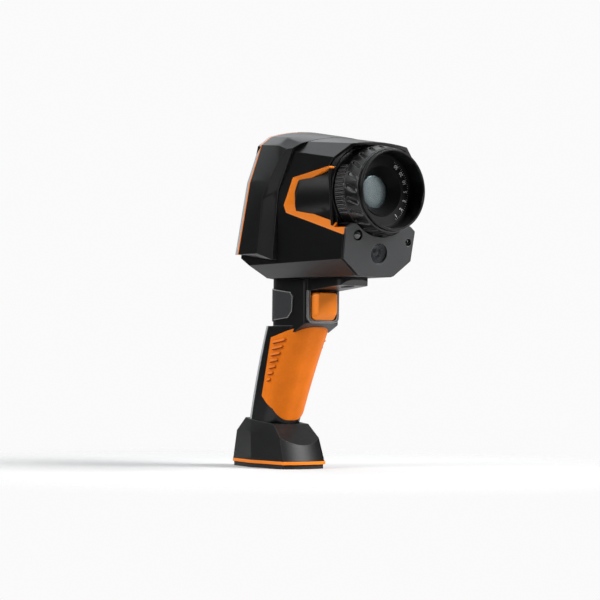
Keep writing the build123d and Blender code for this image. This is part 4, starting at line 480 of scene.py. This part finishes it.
def circuit_board(name):
    """Green board with paler tracks and small pads."""
    tree, shader = begin(name)
    cells = tree.nodes.new("ShaderNodeTexVoronoi")
    cells.distance = "CHEBYCHEV"
    cells.feature = "F1"
    cells.inputs["Scale"].default_value = 320.0
    tree.links.new(object_place(tree), cells.inputs["Vector"])
    greens = ((0.012, 0.085, 0.035), (0.016, 0.10, 0.045), (0.05, 0.20, 0.10))
    tracks = tiled(tree, 260.0, 0.03, greens)
    pads = spread(tree, cells.outputs["Distance"], 0.10, 0.07)
    padded = tint(tree, pads, tracks.outputs["Color"], (0.70, 0.62, 0.42))
    give(tree, shader, padded, spread(tree, pads, 0, 1, 0.35, 0.22))
    relief(tree, shader, tracks.outputs["Fac"], 0.3, 0.00003)


def screen_panel(name):
    """Switched-off display: near black with a faint pixel grid."""
    tree, shader = begin(name)
    blacks = ((0.006, 0.007, 0.009), (0.007, 0.008, 0.010), (0.002, 0.002, 0.003))
    grid = tiled(tree, 900.0, 0.06, blacks)
    grid.offset = 0.0
    patches = use(tree, "handling", Size=30.0)["Mask"]
    give(tree, shader, grid.outputs["Color"], spread(tree, patches, 0, 1, 0.16, 0.20))


# ---------------------------------------------------------------- finishes of the pieces
BLACK = (0.0030, 0.0031, 0.0033)
DEEP_BLACK = (0.0025, 0.0026, 0.0028)
# Painted highlight colour for the corners of black plastic.
BLACK_EDGE_HIGHLIGHT = (0.05, 0.05, 0.052)
ORANGE = (0.80, 0.205, 0.012)
GRIP_ORANGE = (0.66, 0.150, 0.004)
# Painted shade for the undersides of the grip's ridges.
GRIP_UNDERSIDE_SHADE = (0.13, 0.022, 0.001)
SILVER = (0.33, 0.34, 0.35)

# In each moulded finish, the colour after the specular level is the painted highlight along its corners.
moulded("housing_plastic", DEEP_BLACK, 0.29, 0.38, (0.03, 0.03, 0.032))
moulded("display_plastic", BLACK, 0.29, 0.38, (0.06, 0.06, 0.062))
moulded("line_plastic", ORANGE, 0.42, 0.2, shade(ORANGE, 1.2), dust=0.0)
moulded("bezel_plastic", SILVER, 0.45, 0.45, (0.5, 0.5, 0.5), dust=0.0)
clear_glass("screen_cover", (0.55, 0.57, 0.60))
screen_panel("screen_panel")
bare_metal("frame_metal", (0.62, 0.63, 0.65), 0.34)
circuit_board("board")
rubbery("key_rubber", (0.022, 0.023, 0.025), 0.55, 0.4)
moulded("nav_plastic", (0.16, 0.165, 0.175), 0.4, 0.45, (0.3, 0.3, 0.3))
moulded("fairing_plastic", BLACK, 0.29, 0.38, (0.05, 0.05, 0.05))
moulded("accent_plastic", ORANGE, 0.36, 0.18, shade(ORANGE, 1.25), dust=0.0)
turned("lens_black", (0.0030, 0.0031, 0.0034), 0.32, 0.30)
turned("lens_inside", (0.0022, 0.0022, 0.0025), 0.55, 0.14)
moulded("focus_rubber", (0.0022, 0.0023, 0.0025), 0.32, 0.36, (0.16, 0.16, 0.165))
moulded("ribbed_plastic", (0.0020, 0.0021, 0.0023), 0.34, 0.32, (0.26, 0.26, 0.27))
moulded("foot_plastic", DEEP_BLACK, 0.42, 0.24, (0.06, 0.06, 0.062))
infrared_glass("infrared_glass")
moulded("sensor_ceramic", (0.40, 0.39, 0.37), 0.35, 0.5, (0.5, 0.5, 0.5))
moulded("plate_plastic", (0.020, 0.0205, 0.022), 0.38, 0.5, (0.10, 0.10, 0.10), grain=3000.0, depth=0.2)
clear_glass("camera_glass", (0.55, 0.57, 0.62))
clear_glass("lamp_glass", (0.95, 0.96, 0.98), 0.05)
bare_metal("steel", (0.55, 0.56, 0.58), 0.28)
moulded("handle_halves", BLACK, 0.31, 0.38, BLACK_EDGE_HIGHLIGHT)
rubbery("grip_rubber", GRIP_ORANGE, 0.48, 0.12)
rubbery("ridge_rubber", GRIP_ORANGE, 0.48, 0.12)
moulded("pad_rubber", (0.022, 0.0225, 0.024), 0.42, 0.42, (0.34, 0.34, 0.34), radius=0.0013, dust=0.0)
moulded("trigger_plastic", ORANGE, 0.38, 0.18, shade(ORANGE, 1.25), dust=0.0, radius=0.0008)
moulded("rim_plastic", (0.06, 0.061, 0.062), 0.4, 0.5, (0.55, 0.55, 0.56), radius=0.0006, dust=0.0)
moulded("switch_plastic", (0.02, 0.02, 0.022), 0.5, 0.4, (0.05, 0.05, 0.05))
rubbery("sole_rubber", (0.009, 0.0095, 0.01), 0.62, 0.35)
moulded("battery_plastic", (0.014, 0.0145, 0.0155), 0.5, 0.4, (0.05, 0.05, 0.05))
moulded("battery_cell", (0.02, 0.10, 0.26), 0.22, 0.5, (0.04, 0.15, 0.35), depth=0.05)
bare_metal("contact_brass", (0.72, 0.50, 0.22), 0.25)
bare_metal("blackened_steel", (0.03, 0.03, 0.032), 0.4)
moulded("print_white", (0.62, 0.62, 0.62), 0.5, 0.4, (0.7, 0.7, 0.7), depth=0.05, dust=0.0)
moulded("dark_glass", (0.004, 0.004, 0.006), 0.05, 0.9, (0.01, 0.01, 0.01), depth=0.0, dust=0.0)


def silver_and_painted_highlight_round_the_rear():
    """Silver of the handle's spine carried round its rear corners: partly the spine's own colour, partly a
    painted highlight on the faces that look back.
    """
    tree = FINISHES["handle_halves"].node_tree
    height = component(tree, object_place(tree), "Z")
    rear = spread(tree, component(tree, surface_normal(tree), "Y"), 0.16, 0.22)
    under_neck = spread(tree, height, 0.1005, 0.1003)
    over_foot = spread(tree, height, 0.0340, 0.0342)
    # Painted highlight: the faces looking back, between the neck and the foot, are painted silver.
    mask = number(tree, "MULTIPLY", number(tree, "MULTIPLY", rear, under_neck), over_foot)
    paint_over("handle_halves", mask, SILVER)


def painted_shade_under_the_ridges():
    """Painted shade on the underside of each ridge of the grip, darker where its surface faces down."""
    tree = FINISHES["ridge_rubber"].node_tree
    under = spread(tree, component(tree, surface_normal(tree), "Z"), 0.0, -0.35)
    paint_over("ridge_rubber", under, GRIP_UNDERSIDE_SHADE)


silver_and_painted_highlight_round_the_rear()
painted_shade_under_the_ridges()

# Solids that show another finish than the one named after their slot.
OWN_FINISH = {
    "bayonet_ring": "ribbed_plastic",
    "foot_housing": "foot_plastic",
    "handle_left": "handle_halves",
    "handle_right": "handle_halves",
    "lens_cell": "lens_inside",
    "retaining_ring": "lens_inside",
    "tripod_insert": "blackened_steel",
}


def dress_nodes():
    """Each solid of the frame takes its finish, and smooth shading up to its corners."""
    for name, node in nodes.items():
        node.data.materials.clear()
        node.data.materials.append(FINISHES[OWN_FINISH.get(name, node_slots[name])])
        node.data.polygons.foreach_set("use_smooth", [True] * len(node.data.polygons))
        join = node.modifiers.new("join_triangles", "WELD")
        join.merge_threshold = 0.000002
        split = node.modifiers.new("keep_corners", "EDGE_SPLIT")
        split.split_angle = radians(24)
        split.use_edge_sharp = False


dress_nodes()


# ---------------------------------------------------------------- shaping of the small pieces
def ready():
    """Object mode with nothing selected, as each new piece starts."""
    if bpy.context.object is not None and bpy.context.object.mode != "OBJECT":
        bpy.ops.object.mode_set(mode="OBJECT")
    bpy.ops.object.select_all(action="DESELECT")


def named(name):
    """The piece just made, with its name."""
    piece = bpy.context.object
    piece.name = name
    return piece


def work_on(piece):
    """The piece alone selected and active."""
    ready()
    piece.select_set(True)
    bpy.context.view_layer.objects.active = piece


def fix_sizes(piece):
    """Place and scale written into the mesh."""
    work_on(piece)
    bpy.ops.object.transform_apply(location=True, rotation=True, scale=True)


def round_corners(piece, width, limit=50, segments=3):
    """Bevel on the edges that bend more than the limit."""
    work_on(piece)
    rounding = piece.modifiers.new("round", "BEVEL")
    rounding.width = width * MM
    rounding.segments = segments
    rounding.limit_method = "ANGLE"
    rounding.angle_limit = radians(limit)
    bpy.ops.object.modifier_apply(modifier=rounding.name)
    bpy.ops.object.shade_smooth_by_angle(angle=radians(35))


def disc(name, radius, depth, sides):
    """Plate with a regular outline, z from 0 to depth."""
    ready()
    bpy.ops.mesh.primitive_cylinder_add(vertices=sides, radius=radius * MM, depth=depth * MM)
    piece = named(name)
    piece.location.z = depth * MM / 2
    fix_sizes(piece)
    return piece


def hoop(name, outer, inner, depth, corner, sides=64):
    """Flat ring, z from 0 to depth."""
    ready()
    bpy.ops.mesh.primitive_circle_add(vertices=sides, radius=inner * MM, fill_type="NOTHING")
    piece = named(name)
    bpy.ops.object.mode_set(mode="EDIT")
    bpy.ops.mesh.select_all(action="SELECT")
    bpy.ops.mesh.extrude_region_move()
    bpy.ops.transform.resize(value=(outer / inner, outer / inner, 1))
    bpy.ops.mesh.select_all(action="SELECT")
    bpy.ops.mesh.extrude_region_move(TRANSFORM_OT_translate={"value": (0, 0, depth * MM)})
    bpy.ops.mesh.select_all(action="SELECT")
    bpy.ops.mesh.normals_make_consistent(inside=False)
    bpy.ops.object.mode_set(mode="OBJECT")
    round_corners(piece, corner)
    return piece


def block(name, width, height, depth, corner, rim=0.0):
    """Plate with rounded outline, centred, z from 0 to depth; rim rounds its other edges."""
    ready()
    bpy.ops.mesh.primitive_cube_add(size=1)
    piece = named(name)
    piece.scale = (width * MM, height * MM, depth * MM)
    piece.location.z = depth * MM / 2
    fix_sizes(piece)
    bpy.ops.object.mode_set(mode="EDIT")
    bpy.ops.mesh.select_all(action="DESELECT")
    bpy.ops.object.mode_set(mode="OBJECT")
    for edge in piece.data.edges:
        ends = [piece.data.vertices[v].co for v in edge.vertices]
        edge.select = abs(ends[0].z - ends[1].z) > 0.5 * depth * MM
    bpy.ops.object.mode_set(mode="EDIT")
    bpy.ops.mesh.select_mode(type="EDGE")
    bpy.ops.mesh.bevel(offset=corner * MM, segments=5)
    bpy.ops.object.mode_set(mode="OBJECT")
    if rim:
        round_corners(piece, rim)
    return piece


def sleeve(name, width, height, length, wall):
    """Open rectangular tube with its opening along z."""
    piece = block(name, width, height, length, corner=0.5)
    bpy.ops.object.mode_set(mode="EDIT")
    bpy.ops.mesh.select_all(action="DESELECT")
    bpy.ops.object.mode_set(mode="OBJECT")
    for face in piece.data.polygons:
        face.select = abs(face.normal.z) > 0.9
    bpy.ops.object.mode_set(mode="EDIT")
    bpy.ops.mesh.select_mode(type="FACE")
    bpy.ops.mesh.delete(type="FACE")
    bpy.ops.object.mode_set(mode="OBJECT")
    walls = piece.modifiers.new("walls", "SOLIDIFY")
    walls.thickness = wall * MM
    walls.offset = -1
    bpy.ops.object.modifier_apply(modifier=walls.name)
    bpy.ops.object.shade_smooth_by_angle(angle=radians(35))
    return piece


def dome(name, radius, height):
    """Lens front: spherical cap on z = 0."""
    ready()
    bpy.ops.mesh.primitive_uv_sphere_add(segments=48, ring_count=32, radius=radius * MM)
    piece = named(name)
    bpy.ops.object.mode_set(mode="EDIT")
    bpy.ops.mesh.select_all(action="SELECT")
    bpy.ops.mesh.bisect(plane_co=(0, 0, 0), plane_no=(0, 0, 1), clear_inner=True, use_fill=True)
    bpy.ops.object.mode_set(mode="OBJECT")
    piece.scale.z = height / radius
    fix_sizes(piece)
    bpy.ops.object.shade_smooth_by_angle(angle=radians(40))
    return piece


def lettering(name, text, height, depth):
    """Printed characters in the XY plane, centred."""
    ready()
    bpy.ops.object.text_add()
    piece = named(name)
    piece.data.body = text
    piece.data.size = height * MM
    piece.data.extrude = depth * MM / 2
    piece.data.offset = 0.02 * height * MM
    piece.data.align_x = "CENTER"
    piece.data.align_y = "CENTER"
    bpy.ops.object.convert(target="MESH")
    return bpy.context.object


def merged(name, pieces):
    """Several pieces joined into one."""
    ready()
    for piece in pieces:
        piece.select_set(True)
    bpy.context.view_layer.objects.active = pieces[0]
    bpy.ops.object.join()
    return named(name)


def put(piece, frame_of, x=0.0, y=0.0, z=0.0):
    """Place in one of the sloping frames, in millimetres, written into the mesh."""
    piece.data.transform(frame_of @ Matrix.Translation(Vector((x, y, z)) * MM))
    piece.data.update()
    return piece


def finish(piece, body, surface):
    """Body that carries the piece and the surface it shows."""
    piece.data.materials.clear()
    piece.data.materials.append(FINISHES[surface])
    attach(piece, body)


# ---------------------------------------------------------------- distance scale
CONE_LOW, CONE_HIGH = 17.4, 23.8          # radii of the scale's shallow cone
CONE_BACK, CONE_FRONT = 120.1, 120.7      # its places along the lens axis
CONE_LEAN = 0.094                         # its slope, in radians
PRINT_DEPTH = 0.06
MARKS = ("1", "2", "3", "5", "10", "20", "50")
MARK_HEIGHT = 3.4
MARK_RADIUS = 20.9
MARK_START, MARK_STEP = -52, 17.5         # degrees round the lens
TICK_COUNT = 31
TICK_START, TICK_STEP = -56, 3.9
TICK_RADIUS, TICK_WIDTH = 22.9, 0.16
TICK_LENGTH, LONG_TICK_LENGTH = 0.7, 1.2
LONG_TICK_EVERY = 5


def on_cone(piece, angle, radius, proud, inset=0.0, turn=0):
    """Print on the cone, at degrees round it and just proud of it."""
    around = Matrix.Rotation(radians(angle), 4, "Z") @ Matrix.Translation(((radius - inset) * MM, 0, 0))
    lean = Matrix.Rotation(-CONE_LEAN, 4, "Y") @ Matrix.Rotation(radians(turn), 4, "Z")
    piece.data.transform(around @ lean)
    share = (radius - CONE_LOW) / (CONE_HIGH - CONE_LOW)
    return put(piece, LENS, z=CONE_BACK + share * (CONE_FRONT - CONE_BACK) + proud)


def make_focus_scale():
    """Plain distance numbers and ticks printed round the lens front."""
    parts = []
    for index, text in enumerate(MARKS):
        mark = lettering("mark", text, MARK_HEIGHT, PRINT_DEPTH)
        parts.append(on_cone(mark, MARK_START + index * MARK_STEP, MARK_RADIUS, 0.05, turn=90))
    for index in range(TICK_COUNT):
        long_one = index % LONG_TICK_EVERY == 0
        length = LONG_TICK_LENGTH if long_one else TICK_LENGTH
        tick = block("tick", length, TICK_WIDTH, PRINT_DEPTH, corner=0.05)
        angle = TICK_START + index * TICK_STEP
        parts.append(on_cone(tick, angle, TICK_RADIUS, 0.02, inset=(length - TICK_LENGTH) / 2))
    finish(merged("focus_scale", parts), "cell_body", "print_white")


# ---------------------------------------------------------------- objective and focus ring
OBJECTIVE_RADIUS, OBJECTIVE_RISE = 11.4, 0.6
OBJECTIVE_PLACE = 112.05                  # along the lens axis
RING_REAR, RING_FRONT = 118.5, 131.1
RING_BORE = 28.0
RING_REAR_RADIUS, RING_FRONT_RADIUS = 30.9, 28.8
SLOT_COUNT = 22
SLOT_SKEW = radians(25)
SLOT_WIDTH, SLOT_LENGTH, SLOT_CORNER = 3.1, 10.8, 1.5
SLOT_DEPTH = 1.2
CUTTER_HEIGHT = 3.0


def make_objective():
    """Domed front element, smooth to its edge."""
    glass = put(dome("objective", OBJECTIVE_RADIUS, OBJECTIVE_RISE), LENS, z=OBJECTIVE_PLACE)
    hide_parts("objective_glass")
    finish(glass, "cell_body", "infrared_glass")


def ring_blank(name):
    """Focus ring spun from its section, before its slots."""
    section = (
        (RING_REAR, RING_BORE),
        (RING_REAR, RING_REAR_RADIUS - 0.5),
        (RING_REAR + 0.5, RING_REAR_RADIUS),
        (RING_FRONT - 0.6, RING_FRONT_RADIUS),
        (RING_FRONT, RING_FRONT_RADIUS - 0.7),
        (RING_FRONT, RING_BORE),
    )
    ready()
    outline = bpy.data.meshes.new(name)
    points = [(radius * MM, 0, place * MM) for place, radius in section]
    outline.from_pydata(points, [(i, (i + 1) % len(points)) for i in range(len(points))], [])
    ring = bpy.data.objects.new(name, outline)
    bpy.context.scene.collection.objects.link(ring)
    work_on(ring)
    bpy.ops.object.mode_set(mode="EDIT")
    bpy.ops.mesh.select_all(action="SELECT")
    bpy.ops.mesh.spin(steps=176, angle=2 * pi, center=(0, 0, 0), axis=(0, 0, 1))
    bpy.ops.mesh.select_all(action="SELECT")
    bpy.ops.mesh.remove_doubles(threshold=0.000001)
    bpy.ops.mesh.normals_make_consistent(inside=False)
    bpy.ops.object.mode_set(mode="OBJECT")
    return ring


def slot_cutters():
    """Rounded blocks round the ring, leaning with its taper and skewed across it."""
    taper = (RING_REAR_RADIUS - RING_FRONT_RADIUS) / (RING_FRONT - RING_REAR)
    middle = (RING_REAR_RADIUS + RING_FRONT_RADIUS) / 2
    stand = Matrix(((0, 0, 1), (1, 0, 0), (0, 1, 0))).to_4x4()
    lean = Matrix.Rotation(-taper, 4, "X") @ Matrix.Rotation(-SLOT_SKEW, 4, "Z")
    seat = Matrix.Translation(((middle - SLOT_DEPTH) * MM, 0, (RING_REAR + RING_FRONT) / 2 * MM))
    cutters = []
    for index in range(SLOT_COUNT):
        cutter = block("cutter", SLOT_WIDTH, SLOT_LENGTH, CUTTER_HEIGHT, SLOT_CORNER)
        around = Matrix.Rotation(2 * pi * index / SLOT_COUNT, 4, "Z")
        cutter.data.transform(around @ seat @ stand @ lean)
        cutters.append(cutter)
    return merged("slot_cutters", cutters)


def make_focus_grip():
    """Focus ring with its oblique slots and softened edges."""
    ring = ring_blank("focus_grip")
    slots = slot_cutters()
    work_on(ring)
    cut = ring.modifiers.new("slots", "BOOLEAN")
    cut.operation = "DIFFERENCE"
    cut.solver = "EXACT"
    cut.object = slots
    bpy.ops.object.modifier_apply(modifier=cut.name)
    bpy.data.objects.remove(slots)
    round_corners(ring, 0.25, limit=40, segments=2)
    put(ring, LENS)
    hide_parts("focus_ring")
    finish(ring, "focus_body", "focus_rubber")


# ---------------------------------------------------------------- front plate
CAMERA_UP, CAMERA_FLOOR, CAMERA_LENS_BACK = 1.1, -4.45, -3.6
RELEASE_ACROSS, RELEASE_UP, RELEASE_BACK = -19.6, 13.06, -0.5


def make_camera_optics():
    """Bezel, barrel and lens of the small daylight camera, down its well in the plate."""
    bezel = put(hoop("camera_bezel", 5.6, 4.1, 1.2, 0.2), PLATE, y=CAMERA_UP, z=CAMERA_FLOOR)
    finish(bezel, "camera_body", "lens_black")
    barrel = put(hoop("camera_barrel", 3.9, 2.5, 2.4, 0.25), PLATE, y=CAMERA_UP, z=CAMERA_FLOOR)
    finish(barrel, "camera_body", "lens_black")
    lens = put(dome("camera_lens", 2.45, 1.0), PLATE, y=CAMERA_UP, z=CAMERA_LENS_BACK)
    finish(lens, "camera_body", "dark_glass")


def make_release_dome():
    """Glossy dome on the lens release button."""
    cap = put(dome("release_dome", 3.1, 0.9), PLATE, RELEASE_ACROSS, RELEASE_UP, RELEASE_BACK)
    finish(cap, "release_body", "dark_glass")


# ---------------------------------------------------------------- grip
RIDGES = 7
RIDGE_LONGEST, RIDGE_SHORTEST = 14.6, 4.6     # from the top ridge to the bottom one
RIDGE_HIGH, RIDGE_PITCH = 89.6, 4.55
RIDGE_HIGH_REAR, RIDGE_LOW_REAR = -22.2, -14.7
RIDGE_WIDTH, RIDGE_HEIGHT, RIDGE_CORNER, RIDGE_RIM = 2.3, 1.2, 1.05, 0.45
RIDGE_SUNK = 0.6
RIDGE_SLANT = radians(-8)
RIDGE_TILT = radians(20)                      # of its face, up
BESIDE_GRIP = 60                              # clear of its side; a ray from there finds its skin


def make_grip_ridges(name, side):
    """Louvre-like ridges on one side of the grip, each standing on the rib under it."""
    out = Vector((side, 0, 0))
    along = Vector((0, cos(RIDGE_SLANT), sin(RIDGE_SLANT)))
    stand = Matrix((along, out.cross(along), out)).transposed().to_4x4()
    tilt = Matrix.Rotation(-side * RIDGE_TILT, 4, "X")
    ridges = []
    for index in range(RIDGES):
        share = index / (RIDGES - 1)
        length = RIDGE_LONGEST + (RIDGE_SHORTEST - RIDGE_LONGEST) * share
        rear = RIDGE_HIGH_REAR + (RIDGE_LOW_REAR - RIDGE_HIGH_REAR) * share
        beside = Vector((side * BESIDE_GRIP, rear - length / 2, RIDGE_HIGH - RIDGE_PITCH * index)) * MM
        skin = nodes["grip_cover"].ray_cast(beside, -out)[1]
        ridge = block("ridge", length, RIDGE_WIDTH, RIDGE_HEIGHT, RIDGE_CORNER, RIDGE_RIM)
        ridge.data.transform(Matrix.Translation(skin - out * RIDGE_SUNK * MM) @ stand @ tilt)
        ridges.append(ridge)
    finish(merged(name, ridges), "camera_body", "ridge_rubber")


# ---------------------------------------------------------------- keys and selector
KEY_REACH, KEY_ROW = 19.5, 10.6       # places of the keys across and up the bezel
KEY_FACE, SELECTOR_FACE = 0.90, 1.80  # heights of their caps over it
SUNK = 0.02                           # how far a mark is let into its cap
BAR_PITCH = 1.1
ARROW_REACH = 4.7


def key_bar(width, height, across, up):
    """Raised bar on a key."""
    bar = block("mark", width, height, 0.14, 0.15, 0.03)
    return put(bar, DISPLAY, across, KEY_ROW + up, KEY_FACE - SUNK)


def make_key_marks():
    """Raised ring and bar on one key, three bars on the other, four arrows on the selector."""
    ring = put(hoop("mark", 1.7, 1.3, 0.12, 0.04), DISPLAY, -KEY_REACH, KEY_ROW, KEY_FACE - SUNK)
    power = [ring, key_bar(0.45, 1.6, -KEY_REACH, 1.5)]
    finish(merged("power_mark", power), "key_left_body", "print_white")
    bars = [key_bar(3.4, 0.45, KEY_REACH, step * BAR_PITCH) for step in (-1, 0, 1)]
    finish(merged("menu_mark", bars), "key_right_body", "print_white")
    arrows = []
    for turn in (0, 90, 180, 270):
        arrow = disc("mark", 0.75, 0.14, sides=3)
        outwards = Matrix.Translation((0, ARROW_REACH * MM, 0))
        arrow.data.transform(Matrix.Rotation(radians(turn), 4, "Z") @ outwards)
        arrows.append(put(arrow, DISPLAY, 0, KEY_ROW, SELECTOR_FACE - SUNK))
    finish(merged("arrow_marks", arrows), "cap_body", "print_white")


# ---------------------------------------------------------------- ports and fasteners
SOCKETS = (("usb", -6.5, 8.6, 3.4), ("card", 5.5, 8.8, 3.2))   # place across, width and height
SOCKET_FLOOR = -8.1
SOCKET_PLAY = 0.4
SHELL_LENGTH, SHELL_WALL = 5.0, 0.25
HANDLE_SCREWS = ((-23.6, 129.8), (-31.6, 99.8))                # places along the camera and up it
SCREW_HEAD = 13.2
THREAD_ALONG, THREAD_LOW, THREAD_PITCH, THREAD_TURNS = -84.0, 127.9, 1.2, 7


def make_port_fittings():
    """Metal shells and tongues in the two sockets under the flap."""
    for name, across, width, height in SOCKETS:
        shell = sleeve(name + "_shell", width - SOCKET_PLAY, height - SOCKET_PLAY, SHELL_LENGTH, SHELL_WALL)
        finish(put(shell, PORT, across, 0, SOCKET_FLOOR), "camera_body", "steel")
        tongue = block(name + "_tongue", width - 3.0, 0.8, 3.8, 0.2, 0.08)
        finish(put(tongue, PORT, across, 0, SOCKET_FLOOR), "camera_body", "switch_plastic")


def make_fasteners():
    """Hexagon sockets of the handle screws and the thread of the tripod bush."""
    for index, (along, up) in enumerate(HANDLE_SCREWS):
        head = slanted((SCREW_HEAD, along, up), (0, 1, 0), (1, 0, 0))
        socket = put(disc("screw_socket_%d" % (index + 1), 1.3, 0.05, sides=6), head)
        finish(socket, "camera_body", "blackened_steel")
    turns = []
    for index in range(THREAD_TURNS):
        turn = hoop("turn", 3.17, 2.75, 0.5, 0.12, sides=48)
        place = Vector((0, THREAD_ALONG, THREAD_LOW + THREAD_PITCH * index)) * MM
        turn.data.transform(Matrix.Translation(place))
        turns.append(turn)
    finish(merged("tripod_thread", turns), "camera_body", "blackened_steel")


make_focus_scale()
make_objective()
make_focus_grip()
make_camera_optics()
make_grip_ridges("grip_ridges_left", 1)
make_grip_ridges("grip_ridges_right", -1)
make_key_marks()
make_port_fittings()
make_fasteners()
make_release_dome()
